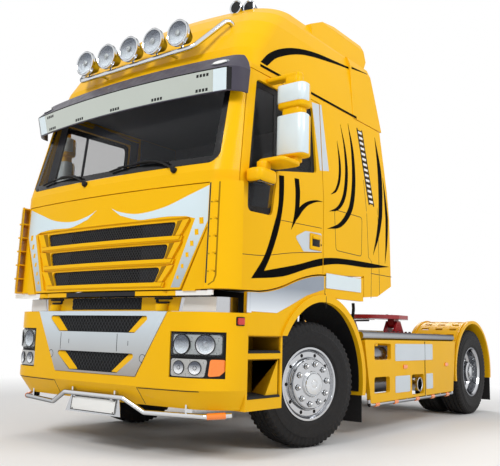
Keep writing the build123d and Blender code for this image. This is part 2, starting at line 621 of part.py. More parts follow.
# Front bumper, its steel centre panel and its meshes
PANEL_GAP = 3.0
PANEL_IN = 20.0
BEAM_Z = (936.0, 1000.0)
STRUT_X = 370.0
PANEL_TOP_X, PANEL_LOW_X, PANEL_LOW_Z = 763.0, 475.0, 590.0
BUMPER_SLOTS = [
    dict(top=1042.0, low=912.0, top_x=612.0, low_x=452.0),
    dict(top=757.0, low=606.0, top_x=492.0, low_x=285.0),
]
LAMP_IN_X, LAMP_OUT_X = 800.0, 1190.0
LAMP_TOP_Z, LAMP_MID_Z, LAMP_LOW_Z = 932.0, 748.0, 604.0
front_reach = (FRONT_Y - 100.0, FRONT_Y + 500.0)


def panel_face(grow):
    return poly_face([(-PANEL_LOW_X - grow, PANEL_LOW_Z - grow), (PANEL_LOW_X + grow, PANEL_LOW_Z - grow),
                      (PANEL_TOP_X + grow, BUMPER_TOP_Z + grow), (-PANEL_TOP_X - grow, BUMPER_TOP_Z + grow)])


def lamp_box(grow, low, top):
    across = (LAMP_IN_X - grow, LAMP_OUT_X + grow)
    return span(across, (FRONT_Y - 100, FRONT_Y + 330), (low - grow, top + grow))


bumper_zone = span(ACROSS, (FRONT_Y - 100, BUMPER_REAR_Y), (0, BUMPER_TOP_Z))
bumper = (bumper_loft(0.0) - bumper_loft(BUMPER_WALL, 1.0)) & bumper_zone
bumper = bumper - along_y(panel_face(PANEL_GAP), *front_reach)
lamp_hole = lamp_box(0.0, LAMP_LOW_Z, LAMP_TOP_Z)
bumper = bumper - lamp_hole - flip(lamp_hole)
cross_beam = span(ACROSS, (RAIL_FRONT_Y - 40, RAIL_FRONT_Y), BEAM_Z)
bumper = bumper + (cross_beam & bumper_loft(BUMPER_WALL - 10.0, 1.0))
for strut_x in (-STRUT_X, STRUT_X):
    strut = span((strut_x - 30, strut_x + 30), (FRONT_Y - 100, RAIL_FRONT_Y - 20), BEAM_Z)
    bumper = bumper + (strut & bumper_loft(PANEL_IN + MESH_T, 1.0))
lug_y = (TILT_Y - ARM_BOSS_R, RAIL_FRONT_Y - 39)
pin_x = (ARM_X[0] - LUG_GAP - LUG_T, ARM_X[1] + LUG_GAP + LUG_T)
pivot = rod_x(TILT_PIN_R, *pin_x, TILT_Y, TILT_Z)
for lug_x in (pin_x[0], pin_x[1] - LUG_T):
    pivot = pivot + span((lug_x, lug_x + LUG_T), lug_y, (BEAM_Z[0], TILT_Z + ARM_BOSS_R))
bumper = bumper + pivot + flip(pivot)
save("bumper", bumper)

panel = (bumper_loft(-6.0) - bumper_loft(PANEL_IN, 1.0)) & along_y(panel_face(0.0), *front_reach)
for s in BUMPER_SLOTS:
    hole = poly_face([(-s["low_x"], s["low"]), (s["low_x"], s["low"]), (s["top_x"], s["top"]),
                      (-s["top_x"], s["top"])], 20.0)
    panel = panel - along_y(hole, *front_reach)
save("bumper_panel", panel)
back_mesh = bumper_loft(PANEL_IN) - bumper_loft(PANEL_IN + MESH_T, 1.0)
back_mesh = back_mesh & along_y(panel_face(0.0), *front_reach)
save("bumper_mesh", back_mesh & span(ACROSS, front_reach, (PANEL_LOW_Z - 30, BUMPER_TOP_Z)))

# Lamp units
lamps = []
for low, top, cz, r in ((LAMP_MID_Z, LAMP_TOP_Z, 838.0, 76.0), (LAMP_LOW_Z, LAMP_MID_Z - 4.0, 674.0, 58.0)):
    unit = (bumper_loft(10.0) - bumper_loft(90.0, 1.0)) & lamp_box(0.0, low, top)
    for cx in (892.0, 1040.0):
        unit = unit - Pos(cx, FRONT_Y + 60.0, cz) * Rot(90, 0, 0) * Cone(r * 0.45, r, 150)
    lamps.append(unit)
save_both("headlamps", *lamps)

# Steel closing band between bumper and cab
BAND_IN = 88.0
BAND_TOP_Z = 1188.0
band = (cab_loft(BAND_IN, -200.0) - cab_loft(BAND_IN + 14.0, -201.0, 1.0))
band = band & span(ACROSS, (FRONT_Y - 100, BUMPER_REAR_Y), (BUMPER_TOP_Z - 40, BAND_TOP_Z))
shelf = (bumper_loft(BUMPER_WALL) - cab_loft(BAND_IN + 2.0, -200.0)) & span(
    ACROSS, (FRONT_Y - 100, BUMPER_REAR_Y), (BUMPER_TOP_Z - 30, BUMPER_TOP_Z - 22))
save("front_band", band + shelf)

# Lower chrome bar with its brackets
BAR_R = 19.0
BAR_Y = FRONT_Y + 30.0
half_bar = [(345, BAR_Y, 424), (540, FRONT_Y + 70, 330), (1050, FRONT_Y + 175, 335),
            (1180, FRONT_Y + 310, 345)]
bar = tube([(-x, y, z) for x, y, z in reversed(half_bar)] + half_bar, BAR_R, 45)
# Brackets of the bar: distance from the middle, front, rear, low
for half_x, by0, by1, bz in ((900, 130, 190, 345), (250, 30, 90, 420)):
    for bx in (-half_x, half_x):
        arm = span((bx - 8, bx + 8), (FRONT_Y + by0, FRONT_Y + by1), (bz, 470))
        bar = bar + (arm - bumper_loft(0.0, 0.0))
save("lower_bar", bar.solids().sort_by(SortBy.VOLUME)[-1])

# Steps and front fenders, fixed to the frame
STEP_IN_X = 940.0
STEP_LOW_Z = 368.0
STEP_TOP_Z = 918.0
step = span((STEP_IN_X, SIDE_X - 6), (BUMPER_REAR_Y, STEP_REAR_Y), (STEP_LOW_Z, STEP_TOP_Z))
for low, top in ((452.0, 742.0), (784.0, 912.0)):
    step = step - span((STEP_IN_X + 30, SIDE_X + 10), (BUMPER_REAR_Y + 22, STEP_REAR_Y - 26), (low, top))
save_both("step_boxes", step)

arch_axis = rod_x(ARCH_R, 700, 1400, FRONT_AXLE_Y, TYRE_R)
lip_r = ARCH_R + ARCH_LIP
fender_zone = span((1000, 1400), (BUMPER_REAR_Y, FRONT_Y + 2178), (STEP_TOP_Z, 1600))
fender = (along_x(under_sill(SKIN_GAP, STEP_TOP_Z), SIDE_X - 40, SIDE_X) & fender_zone) - arch_axis
fender = fender - span((1000, 1400), (FRONT_AXLE_Y + 100, FRONT_Y + 2300), (0, 1255))
arch_cut = span((700, 1400), (FRONT_AXLE_Y - 900, FRONT_AXLE_Y + 900), (-900, STEP_TOP_Z)) \
    - span((700, 1400), (FRONT_AXLE_Y, FRONT_AXLE_Y + 900), (392, 2000))
lip = rod_x(lip_r, SIDE_X - 40, ARCH_LIP_X, FRONT_AXLE_Y, TYRE_R) - arch_axis
shell = rod_x(ARCH_R + ARCH_SHELL_T, ARCH_IN_X, SIDE_X - 20, FRONT_AXLE_Y, TYRE_R) - arch_axis
arch = (lip + shell) - arch_cut
save_both("front_fenders", fender + arch)

SILL_T = 5.0
sill_face = under_sill(SKIN_GAP + 4, 1092) & poly_face(
    [(BUMPER_REAR_Y + 20, 1092), (-2200, 1092), (-2040, 1150), (-1775, 1252), (-1495, 1322), (-1495, 1500),
     (BUMPER_REAR_Y + 20, 1500)])
sill = along_x(sill_face, SIDE_X, SIDE_X + SILL_T)
tag_face = poly_face([(-1465, 1332), (-838, 1362), (-825, 1468), (-1465, 1432)], 12)
tag = along_x(tag_face, SIDE_X, SIDE_X + SILL_T)
save_both("sill_trims", sill, tag)

# Side skirts with their windows, and the tube on top
WINDOWS = [
    dict(y0=-543.0, y1=-185.0, z0=708.0, z1=866.0),
    dict(y0=-545.0, y1=-212.0, z0=390.0, z1=545.0),
    dict(y0=315.0, y1=622.0, z0=336.0, z1=545.0),
]
SKIRT_WINDOW_R = 24.0
skirt_face = poly_face([(-742, SKIRT_TOP_Z), (-612, SKIRT_LOW_Z), (1482, SKIRT_LOW_Z + 14),
                        (1570, SKIRT_TOP_Z)], 20)
skirt = along_x(skirt_face, SIDE_X - SKIRT_T, SIDE_X)
for w in WINDOWS:
    corners = [(w["y0"], w["z0"]), (w["y1"], w["z0"]), (w["y1"], w["z1"]), (w["y0"], w["z1"])]
    skirt = skirt - along_x(poly_face(corners, SKIRT_WINDOW_R), SIDE_X - 100, SIDE_X + 20)
RAIL_TUBE_R = 38.0
for by in (-480.0, 240.0, 960.0, 1400.0):
    skirt = skirt + span((RAIL_OUT_X, SIDE_X - 10), (by - 25, by + 25), (SKIRT_TOP_Z - 60, SKIRT_TOP_Z - 10))
save_both("side_skirts", skirt)
save_both("skirt_rails", rod_y(RAIL_TUBE_R, SIDE_X - RAIL_TUBE_R, -768, 1540, SKIRT_TOP_Z + RAIL_TUBE_R))

# What hangs on the frame behind the skirts
TANK_X = (640.0, 1190.0)
tank = span((-TANK_X[1], -TANK_X[0]), (-440, 900), (340, SKIRT_TOP_Z - 60))
tank = fillet(tank.edges().filter_by(Axis.Y), 90)
for by in (-250, 230, 710):
    tank = tank + span((-700, -RAIL_OUT_X), (by - 30, by + 30), (low_rail + 8, low_rail + 50))
save("fuel_tank", tank)
SILENCER_X, SILENCER_Z, SILENCER_R = 900.0, 590.0, 240.0
PIPE_Y, PIPE_Z, PIPE_R, PIPE_WALL = 470.0, 440.0, 70.0, 12.0
silencer = rod_y(SILENCER_R, SILENCER_X, -440, 640, SILENCER_Z)
silencer = silencer + rod_x(PIPE_R, SILENCER_X, SIDE_X + 18, PIPE_Y, PIPE_Z)
for by in (-250, 420):
    silencer = silencer + span((RAIL_OUT_X, 780), (by - 30, by + 30), (low_rail + 8, low_rail + 50))
save("silencer", silencer - rod_x(PIPE_R - PIPE_WALL, SILENCER_X + 100, SIDE_X + 30, PIPE_Y, PIPE_Z))
DECK_T = 12.0
deck_x = RAIL_OUT_X + 180
save("deck_plate", span((-deck_x, deck_x), (-640, 960), (RAIL_TOP_Z, RAIL_TOP_Z + DECK_T)))

# Rear mudguards, flaps and tail lamps
GUARD_R = 605.0
GUARD_T = 20.0
GUARD_LIP = 36.0
GUARD_LOW_Z = 430.0
GUARD_X = (590.0, 1250.0)
guard_lip = rod_x(GUARD_R + GUARD_LIP, GUARD_X[1] - 22, GUARD_X[1], REAR_AXLE_Y, TYRE_R)
guard = rod_x(GUARD_R + GUARD_T, *GUARD_X, REAR_AXLE_Y, TYRE_R) + guard_lip
guard = guard - rod_x(GUARD_R, 500, 1300, REAR_AXLE_Y, TYRE_R)
guard = guard - span((500, 1300), (REAR_AXLE_Y - 900, REAR_AXLE_Y + 900), (-900, GUARD_LOW_Z))
for angle in (44.0, 33.0, 22.0, 11.0, 0.0):
    for x0 in (700.0, 880.0, 1060.0):
        slot = span((x0, x0 + 95), (-20, 20), (GUARD_R - 40, GUARD_R + 60))
        guard = guard - Pos(0, REAR_AXLE_Y, TYRE_R) * Rot(angle, 0, 0) * slot
for dy in (-431, 431):
    guard = guard + rod_x(22, RAIL_OUT_X, GUARD_X[0] + 40, REAR_AXLE_Y + dy, 953)
save_both("rear_mudguards", guard)
FLAP_THICK = 8.0
flap_y = REAR_AXLE_Y + 600.0
flaps = []
for sx in (-1, 1):
    x0, x1 = sorted((sx * 610, sx * 1245))
    flaps.append(span((x0, x1), (flap_y, flap_y + FLAP_THICK), (140, GUARD_LOW_Z)))
    x0, x1 = sorted((sx * 850, sx * 1245))
    flaps.append(span((x0, x1), (FRONT_AXLE_Y + 692, FRONT_AXLE_Y + 692 + FLAP_THICK), (150, 392)))
save("mudflaps", *flaps)

TAIL_BAR_Z = (640.0, 760.0)
tail = span((-RAIL_OUT_X, RAIL_OUT_X), (RAIL_REAR_Y, RAIL_REAR_Y + 16), (low_rail, RAIL_TOP_Z))
tail = tail + span((-1180, 1180), (RAIL_REAR_Y, RAIL_REAR_Y + 40), TAIL_BAR_Z)
for hx in (-80, 80):
    for hz in (-50, 50):
        tail = tail - rod_y(10.5, hx, RAIL_REAR_Y - 1, RAIL_REAR_Y + 50, RAIL_TOP_Z - 90 + hz)
save("tail_beam", tail)
tail_lamps = []
for sx in (-1, 1):
    x0, x1 = sorted((sx * 740, sx * 1180))
    tail_lamps.append(span((x0, x1), (RAIL_REAR_Y + 40, REAR_Y), TAIL_BAR_Z))
save("tail_lamps", *tail_lamps)

# Sun visor on ribs
VISOR_T = 12.0
VISOR_CORNER = 150.0
VISOR_BULGE = 110.0
VISOR_LEVELS = [
    dict(z=2745.0, half=1236.0, front=FRONT_Y + 98.0),
    dict(z=2925.0, half=1254.0, front=FRONT_Y + 66.0),
    dict(z=3062.0, half=1226.0, front=FRONT_Y + 190.0),
]


def visor_loft(inset, grow=0.0):
    faces = []
    for i, lv in enumerate(VISOR_LEVELS):
        z = lv["z"] + (-grow if i == 0 else grow if i == len(VISOR_LEVELS) - 1 else 0.0)
        faces.append(plan_face(z, lv["half"] - inset, lv["front"] + inset, FRONT_Y + 900.0,
                               VISOR_CORNER - inset, VISOR_BULGE))
    return loft(faces, ruled=True)


visor_zone = span(ACROSS, (FRONT_Y - 100, FRONT_Y + 330), (2700, 3100))
visor = (visor_loft(0.0) - visor_loft(VISOR_T, 1.0)) & visor_zone
visor_fill = (visor_loft(VISOR_T - 2.0) & visor_zone) - cab_outer - roof_outer
for vx in (-760, -250, 250, 760):
    visor = visor + (visor_fill & span((vx - 8, vx + 8), (FRONT_Y - 100, FRONT_Y + 600), (2935, 3030)))
save("sun_visor", visor)

# Light bar with five lamps, and two horns
LAMP_Y = FRONT_Y + 235.0
LAMP_Z = 3355.0
LAMP_R = 112.0
LAMP_PITCH = 290.0
BAR_Z = 3228.0
LIGHT_BAR_R = 21.0
half_top = [(700, FRONT_Y + 275, BAR_Z), (865, FRONT_Y + 520, 3520), (865, FRONT_Y + 640, 3440)]
bar_top = tube([(-x, y, z) for x, y, z in reversed(half_top)] + half_top, LIGHT_BAR_R, 60)
for bx in (-1.5 * LAMP_PITCH, 1.5 * LAMP_PITCH):
    bar_top = bar_top + (rod_y(13, bx, FRONT_Y + 275, FRONT_Y + 600, BAR_Z) - roof_outer)
bar_top = bar_top - roof_outer
for i in range(5):
    lx = (i - 2) * LAMP_PITCH
    bar_top = bar_top + Pos(lx, LAMP_Y + 55, LAMP_Z) * Rot(90, 0, 0) * Cone(46, LAMP_R, 110)
    bar_top = bar_top + Pos(lx, LAMP_Y - 8, LAMP_Z) * Rot(90, 0, 0) * Cylinder(LAMP_R, 18)
    bar_top = bar_top + rod_z(11, lx, LAMP_Y + 40, BAR_Z, LAMP_Z)
save("light_bar", bar_top.solids().sort_by(SortBy.VOLUME)[-1])
horns = []
for hx, hy in ((690.0, FRONT_Y + 900.0), (790.0, FRONT_Y + 960.0)):
    bell = Pos(hx, hy, 3800) * Rot(90, 0, 0) * Cone(16, 62, 150) + rod_y(15, hx, hy + 60, hy + 420, 3800)
    bell = bell + rod_z(14, hx, hy + 330, 3600, 3800)
    horns.append((bell - roof_outer).solids().sort_by(SortBy.VOLUME)[-1])
save("horns", *horns)

# Mirrors, carried by the doors
MIRROR_X = (1300.0, 1560.0)
MIRROR_Y = FRONT_Y + 690.0


def mirror_shell(low, top):
    shell = span(MIRROR_X, (MIRROR_Y - 85, MIRROR_Y + 65), (low, top))
    shell = fillet(shell.edges().filter_by(Axis.Z), 60)
    return fillet(shell.faces().sort_by(Axis.Z)[-1].edges() + shell.faces().sort_by(Axis.Z)[0].edges(), 26)


main_shell = mirror_shell(2285, 2620)
top_shell = mirror_shell(2680, 2870)
neck = span((MIRROR_X[0] + 40, MIRROR_X[1] - 40), (MIRROR_Y - 45, MIRROR_Y + 45), (2620, 2680))
top_arm = span((1170, MIRROR_X[1] - 60), (MIRROR_Y - 60, MIRROR_Y + 30), (2935, 2970)) \
    + span((MIRROR_X[0] + 40, MIRROR_X[1] - 60), (MIRROR_Y - 45, MIRROR_Y + 30), (2865, 2940))
low_arm = span((1225, MIRROR_X[1] - 60), (MIRROR_Y - 250, MIRROR_Y + 20), (2215, 2250)) \
    + span((MIRROR_X[0] + 40, MIRROR_X[1] - 60), (MIRROR_Y - 45, MIRROR_Y + 20), (2245, 2290))
kerb = span((1225, 1400), (DOOR_FRONT_Y + 30, DOOR_FRONT_Y + 270), (2044, 2150)) \
    + span((1270, 1350), (DOOR_FRONT_Y + 150, DOOR_FRONT_Y + 250), (2145, 2220))
low_arm = low_arm - cab_outer
mirror_body = fuse(main_shell, top_shell, neck, top_arm, low_arm, kerb) - cab_outer
save_pair("mirror", mirror_body.solids().sort_by(SortBy.VOLUME)[-1])

# Fairings behind the cab, flush with its sides
FAIRING_T = 30.0
side_skin = cab_loft(0.0, -60.0, 0.0, 900.0) - cab_loft(FAIRING_T, -61.0, 1.0, 1000.0)
fairing_face = poly_face([(-752, 1296), (-470, 1318), (-165, 1438), (-212, 2400), (-300, 3032), (-950, 3032),
                          (-950, 1500), (-752, 1500)])
fairing_block = (side_skin & along_x(fairing_face, *LEFT_SIDE)) - cab_outer
INTAKE_LOW, INTAKE_TOP = (-626.0, 2218.0), (-793.0, 2940.0)
INTAKE_W = 85.0
SLATS = 14
SLAT_H = 24.0
intake = poly_face([INTAKE_LOW, (INTAKE_LOW[0] + INTAKE_W, INTAKE_LOW[1]),
                    (INTAKE_TOP[0] + INTAKE_W, INTAKE_TOP[1]), INTAKE_TOP])
fairing = fairing_block - along_x(intake, *LEFT_SIDE)
slat_step = (INTAKE_TOP[1] - INTAKE_LOW[1]) / SLATS
for i in range(SLATS):
    slat_z = INTAKE_LOW[1] + slat_step * (i + 0.5)
    slat = span(LEFT_SIDE, (-850, -500), (slat_z - SLAT_H / 2, slat_z + SLAT_H / 2))
    fairing = fairing + (fairing_block & slat)
save_both("side_fairings", fairing)


# Roof fairing: a hood flush with the cab sides and a narrower spoiler stepped on top of it
HOOD_TOP_Z = 3700.0
SPOILER_TOP_Z = 4000.0
SPOILER_HALF = 1092.0
SPOILER_FRONT_Y = -1480.0
HOOD_T = 40.0


def hood_cross(inset):
    half, top = ROOF_LEVELS[0]["half"] + 2.0 - inset, HOOD_TOP_Z - inset
    right = [(half, GUTTER_Z - 1.0), (half - 38.0, top - 110.0), (half - 66.0, top - 32.0),
             (half - 130.0, top)]
    return make_face(Polyline(*right, *[(-x, z) for x, z in reversed(right)], close=True))


def spoiler_cross(inset):
    half, top = SPOILER_HALF - inset, SPOILER_TOP_Z - inset
    right = [(half, HOOD_TOP_Z - 60.0), (half - 30.0, top - 95.0), (half - 62.0, top - 30.0),
             (half - 140.0, top)]
    return make_face(Polyline(*right, *[(-x, z) for x, z in reversed(right)], close=True))


hood_side = poly_face([(ROOF_REAR_Y, GUTTER_Z), (-262, GUTTER_Z), (-372, 3400), (-470, HOOD_TOP_Z),
                       (ROOF_REAR_Y, HOOD_TOP_Z)])
hood = along_y(hood_cross(0.0), ROOF_REAR_Y, -200) - along_y(hood_cross(HOOD_T), ROOF_REAR_Y - 1, -199)
hood = hood & along_x(hood_side, -1300, 1300)
spoiler_side = poly_face([(SPOILER_FRONT_Y, 3800), (-1250, 3912), (-900, 3988), (-440, SPOILER_TOP_Z),
                          (-398, 3790), (-470, HOOD_TOP_Z - 20), (SPOILER_FRONT_Y, HOOD_TOP_Z - 20)])
spoiler = along_y(spoiler_cross(0.0), SPOILER_FRONT_Y, -200) & along_x(spoiler_side, -1300, 1300)
spoiler = spoiler - along_y(spoiler_cross(HOOD_T), ROOF_REAR_Y, -199) - roof_outer
save("roof_fairing", hood + spoiler)

# Cab interior that shows through the glass
DASH_HALF = 1120.0
SEAT_X = 640.0
SEAT_W = 500.0
dash_face = poly_face([(-2820, FLOOR_Z), (-2820, 2075), (-2560, 2115), (-2430, 2040), (-2400, 1900),
                       (-2480, FLOOR_Z)])
dash = along_x(dash_face, -DASH_HALF, DASH_HALF) & cab_inner
save("dashboard", dash)
# Seat in side view: pedestal, cushion, back and head rest
seat_face = poly_face([(-1950, FLOOR_Z), (-1950, 1640), (-2010, 1700), (-2010, 1830), (-1560, 1810),
                       (-1420, 2420), (-1440, 2660), (-1330, 2660), (-1290, 2400), (-1430, 1700),
                       (-1500, 1640), (-1500, FLOOR_Z)])
save("seats", *[along_x(seat_face, cx - SEAT_W / 2, cx + SEAT_W / 2) for cx in (-SEAT_X, SEAT_X)])
WHEEL_TILT = 38.0
HAND_WHEEL_R = 225.0
spoke = span((-HAND_WHEEL_R, HAND_WHEEL_R), (-18, 18), (-9, 9))
rim = Rot(-WHEEL_TILT, 0, 0) * (Torus(HAND_WHEEL_R, 17) + Cylinder(60, 40) + spoke)
stem = Rot(-WHEEL_TILT, 0, 0) * (Pos(0, 0, -200) * Cylinder(32, 400))
save("steering_wheel", (Pos(SEAT_X, -2260, 2130) * (rim + stem)) - dash)
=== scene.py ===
from math import ceil, cos, floor, pi, radians, sin, tau

import bmesh
import bpy
from mathutils import Matrix, Vector
from mathutils.bvhtree import BVHTree


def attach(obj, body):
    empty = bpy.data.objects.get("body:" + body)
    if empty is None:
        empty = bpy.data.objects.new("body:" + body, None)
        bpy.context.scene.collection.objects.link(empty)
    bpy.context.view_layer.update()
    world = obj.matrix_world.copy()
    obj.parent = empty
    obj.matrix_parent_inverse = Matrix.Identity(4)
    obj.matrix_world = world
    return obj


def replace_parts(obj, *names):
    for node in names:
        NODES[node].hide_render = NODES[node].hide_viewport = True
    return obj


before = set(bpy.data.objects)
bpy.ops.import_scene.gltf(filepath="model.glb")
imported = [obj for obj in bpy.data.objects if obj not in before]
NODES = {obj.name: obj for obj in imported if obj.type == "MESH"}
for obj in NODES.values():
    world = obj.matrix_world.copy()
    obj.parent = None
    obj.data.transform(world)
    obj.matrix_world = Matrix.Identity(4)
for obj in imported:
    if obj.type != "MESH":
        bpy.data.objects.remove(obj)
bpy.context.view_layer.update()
SIDES = ((1, "l", "left"), (-1, "r", "right"))
BOTH = (1, -1)

# Materials
MAT = {}
COAT_ROUGH = 0.04
BUMP_DEPTH = 0.002
DIRT_COLOR, DIRT_LOW, DIRT_HIGH = (0.16, 0.12, 0.08), 0.2, 1.1


# each input takes a value or another node's output
def feed(tree, target, inputs):
    for key, value in inputs.items():
        if isinstance(value, bpy.types.NodeSocket):
            tree.links.new(value, target.inputs[key])
        else:
            target.inputs[key].default_value = value
    return target


def node(tree, kind, inputs=None, **settings):
    made = tree.nodes.new("ShaderNode" + kind)
    for key, value in settings.items():
        setattr(made, key, value)
    return feed(tree, made, inputs or {})


# the height fade (low, high, color below) is painted light: under the low height the colour turns to the
# colour below, standing for shade on some materials and for a reflection on others; more holds other inputs
# of the shader in lower case
def material(name, color, rough=0.5, metal=0.0, coat=0.0, vary=0.0, scale=8.0, rough_vary=0.0, bump=0.0,
             bump_scale=300.0, dirt=0.0, painted_light_by_height=None, **more):
    m = MAT[name] = bpy.data.materials.new(name)
    m.use_nodes = True
    m.diffuse_color = (*color, 1)
    tree = m.node_tree
    shader = tree.nodes["Principled BSDF"]
    extra = {key.replace("_", " ").title().replace("Ior", "IOR"): value for key, value in more.items()}
    base = (*color, 1)
    feed(tree, shader, {"Base Color": base, "Roughness": rough, "Metallic": metal, "Coat Weight": coat,
                        "Coat Roughness": COAT_ROUGH, **extra})
    place = node(tree, "TexCoord").outputs["Object"]

    def noise(size, detail):
        return node(tree, "TexNoise", {"Vector": place, "Scale": size, "Detail": detail}).outputs["Fac"]

    def spread(value, from_low, from_high, low, high):
        return node(tree, "MapRange", {"Value": value, "From Min": from_low, "From Max": from_high,
                                       "To Min": low, "To Max": high}).outputs["Result"]

    def mixed(factor, a, b):
        return node(tree, "Mix", {"Factor": factor, "A": a, "B": (*b, 1)}, data_type="RGBA").outputs["Result"]

    def height():
        return node(tree, "SeparateXYZ", {"Vector": place}).outputs["Z"]

    if vary:
        dark, light = [c * (1 - vary) for c in color], [min(1.0, c * (1 + vary)) for c in color]
        base = mixed(noise(scale, 4.0), (*dark, 1), light)
    # painted shade and painted reflection laid into the colour by height, as each material asks
    if painted_light_by_height:
        low, high, below = painted_light_by_height
        base = mixed(spread(height(), low, high, 1.0, 0.0), base, below)
    if dirt:
        patch = node(tree, "Math", {0: spread(height(), DIRT_LOW, DIRT_HIGH, dirt, 0.0), 1: noise(5.0, 6.0)},
                     operation="MULTIPLY")
        base = mixed(patch.outputs["Value"], base, DIRT_COLOR)
    feed(tree, shader, {"Base Color": base})
    if rough_vary:
        feed(tree, shader, {"Roughness": spread(noise(scale * 3, 6.0), 0.3, 0.7, max(0.0, rough - rough_vary),
                                                rough + rough_vary)})
    if bump:
        relief = node(tree, "Bump", {"Strength": bump, "Distance": BUMP_DEPTH,
                                     "Height": noise(bump_scale, 3.0)})
        feed(tree, shader, {"Normal": relief.outputs["Normal"]})
    return m


# the tint of polished metal seen edge on
DARK_EDGE = (0.1, 0.1, 0.11, 1)
material("paint", (0.85, 0.462, 0.004), 0.34, coat=0.07, vary=0.04, scale=1.3, rough_vary=0.05, bump=0.03,
         bump_scale=500, dirt=0.12, specular_ior_level=0.06)
material("polished", (0.56, 0.57, 0.59), 0.16, metal=1.0, vary=0.05, scale=12, rough_vary=0.06,
         specular_tint=DARK_EDGE)
material("chrome", (0.7, 0.72, 0.74), 0.07, metal=1.0, vary=0.03, scale=5, rough_vary=0.02,
         specular_tint=DARK_EDGE)
# silver turns darker towards the bottom of the bumper panel: painted shade
material("silver", (0.58, 0.66, 0.72), 0.34, metal=0.35, vary=0.04, scale=3, rough_vary=0.06, coat=0.3,
         painted_light_by_height=(0.6, 1.0, (0.34, 0.31, 0.28)))
# steel_band is dark at the top and pale at the bottom of the sill trims: a painted reflection
material("steel_band", (0.24, 0.28, 0.34), 0.34, metal=0.2, vary=0.04, scale=3, rough_vary=0.05, coat=0.3,
         painted_light_by_height=(1.08, 1.3, (0.78, 0.83, 0.88)))
material("pale_steel", (0.55, 0.61, 0.66), 0.34, metal=0.2, vary=0.04, scale=3, rough_vary=0.05, coat=0.3)
# applique turns darker grey towards the bottom of the front bands: painted shade
material("applique", (0.62, 0.74, 0.79), 0.38, metal=0.1, vary=0.03, scale=5, rough_vary=0.05, coat=0.3,
         painted_light_by_height=(1.24, 1.75, (0.36, 0.4, 0.42)))
material("shell", (0.66, 0.76, 0.8), 0.25, vary=0.015, scale=7, rough_vary=0.01, coat=0.3)
# painted shade: a darker yellow laid where the yellow paint lies in shade, in step openings, beside grille
# slots and under fins
material("shade_paint", (0.3, 0.155, 0.003), 0.5, vary=0.08, scale=3, rough_vary=0.06, specular_ior_level=0.1)
material("decal", (0.002, 0.002, 0.002), 0.6, vary=0.25, scale=12, rough_vary=0.08, specular_ior_level=0.02)
material("pale_band", (0.5, 0.54, 0.49), 0.22, metal=0.6, vary=0.06, scale=2.2, rough_vary=0.05, coat=0.6)
material("frame_grey", (0.045, 0.047, 0.05), 0.5, vary=0.2, scale=9, rough_vary=0.1, bump=0.15,
         bump_scale=260, dirt=0.35)
material("deck", (0.33, 0.34, 0.35), 0.35, metal=0.9, vary=0.12, scale=9, rough_vary=0.1, bump=0.7,
         bump_scale=45)
material("black", (0.01, 0.01, 0.011), 0.5, vary=0.25, scale=20, rough_vary=0.1, bump=0.12, bump_scale=700,
         specular_ior_level=0.15)
material("dark_plate", (0.02, 0.02, 0.023), 0.55, vary=0.25, scale=25, rough_vary=0.1, bump=0.3,
         bump_scale=260, specular_ior_level=0.15)
material("gloss_black", (0.006, 0.006, 0.007), 0.25, coat=0.2, vary=0.2, scale=6, rough_vary=0.05,
         specular_ior_level=0.2)
material("wire", (0.04, 0.042, 0.046), 0.45, metal=0.3, vary=0.2, scale=50, rough_vary=0.1,
         specular_ior_level=0.2)
material("rubber", (0.014, 0.014, 0.015), 0.68, vary=0.3, scale=30, rough_vary=0.12, bump=0.25,
         bump_scale=420, dirt=0.05, specular_ior_level=0.2)
material("red_iron", (0.36, 0.012, 0.022), 0.36, vary=0.15, scale=14, rough_vary=0.12, bump=0.2,
         bump_scale=180, coat=0.3)
material("glass", (0.02, 0.022, 0.025), 0.04, vary=0.1, scale=2, rough_vary=0.012, alpha=0.2,
         specular_ior_level=0.3)
material("lens", (0.92, 0.95, 0.97), 0.03, rough_vary=0.02, scale=30, transmission_weight=1.0, ior=1.25)
material("housing", (0.42, 0.42, 0.41), 0.3, metal=0.5, vary=0.05, scale=20, rough_vary=0.06)
material("mirror_glass", (0.6, 0.64, 0.68), 0.03, metal=1.0, vary=0.03, scale=3, rough_vary=0.015)
LENSES = {"amber": ((0.95, 0.22, 0.01), 0.12), "red_lens": ((0.55, 0.008, 0.008), 0.12),
          "white_lens": ((0.8, 0.8, 0.78), 0.06)}
for name, (color, vary) in LENSES.items():
    material(name, color, 0.15, vary=vary, scale=70, rough_vary=0.05, coat=0.8)
material("lining", (0.22, 0.225, 0.25), 0.75, vary=0.2, scale=40, rough_vary=0.1, bump=0.2, bump_scale=500)
material("fabric", (0.26, 0.275, 0.31), 0.85, vary=0.2, scale=90, bump=0.4, bump_scale=900)
material("white", (0.8, 0.8, 0.78), 0.35, vary=0.04, scale=6, rough_vary=0.05, coat=0.3)
material("trim_grey", (0.055, 0.05, 0.07), 0.4, vary=0.12, scale=6, rough_vary=0.08, bump=0.05,
         specular_ior_level=0.25)
# lamp bowls with a painted reflection, dark above and bright below
for name, low, high in (("roof_bowl", 3.29, 3.42), ("main_bowl", 0.8, 0.875), ("fog_bowl", 0.65, 0.7)):
    material(name, (0.09, 0.1, 0.13), 0.25, metal=0.3, vary=0.05, scale=40, rough_vary=0.06,
             painted_light_by_height=(low, high, (0.8, 0.82, 0.85)))

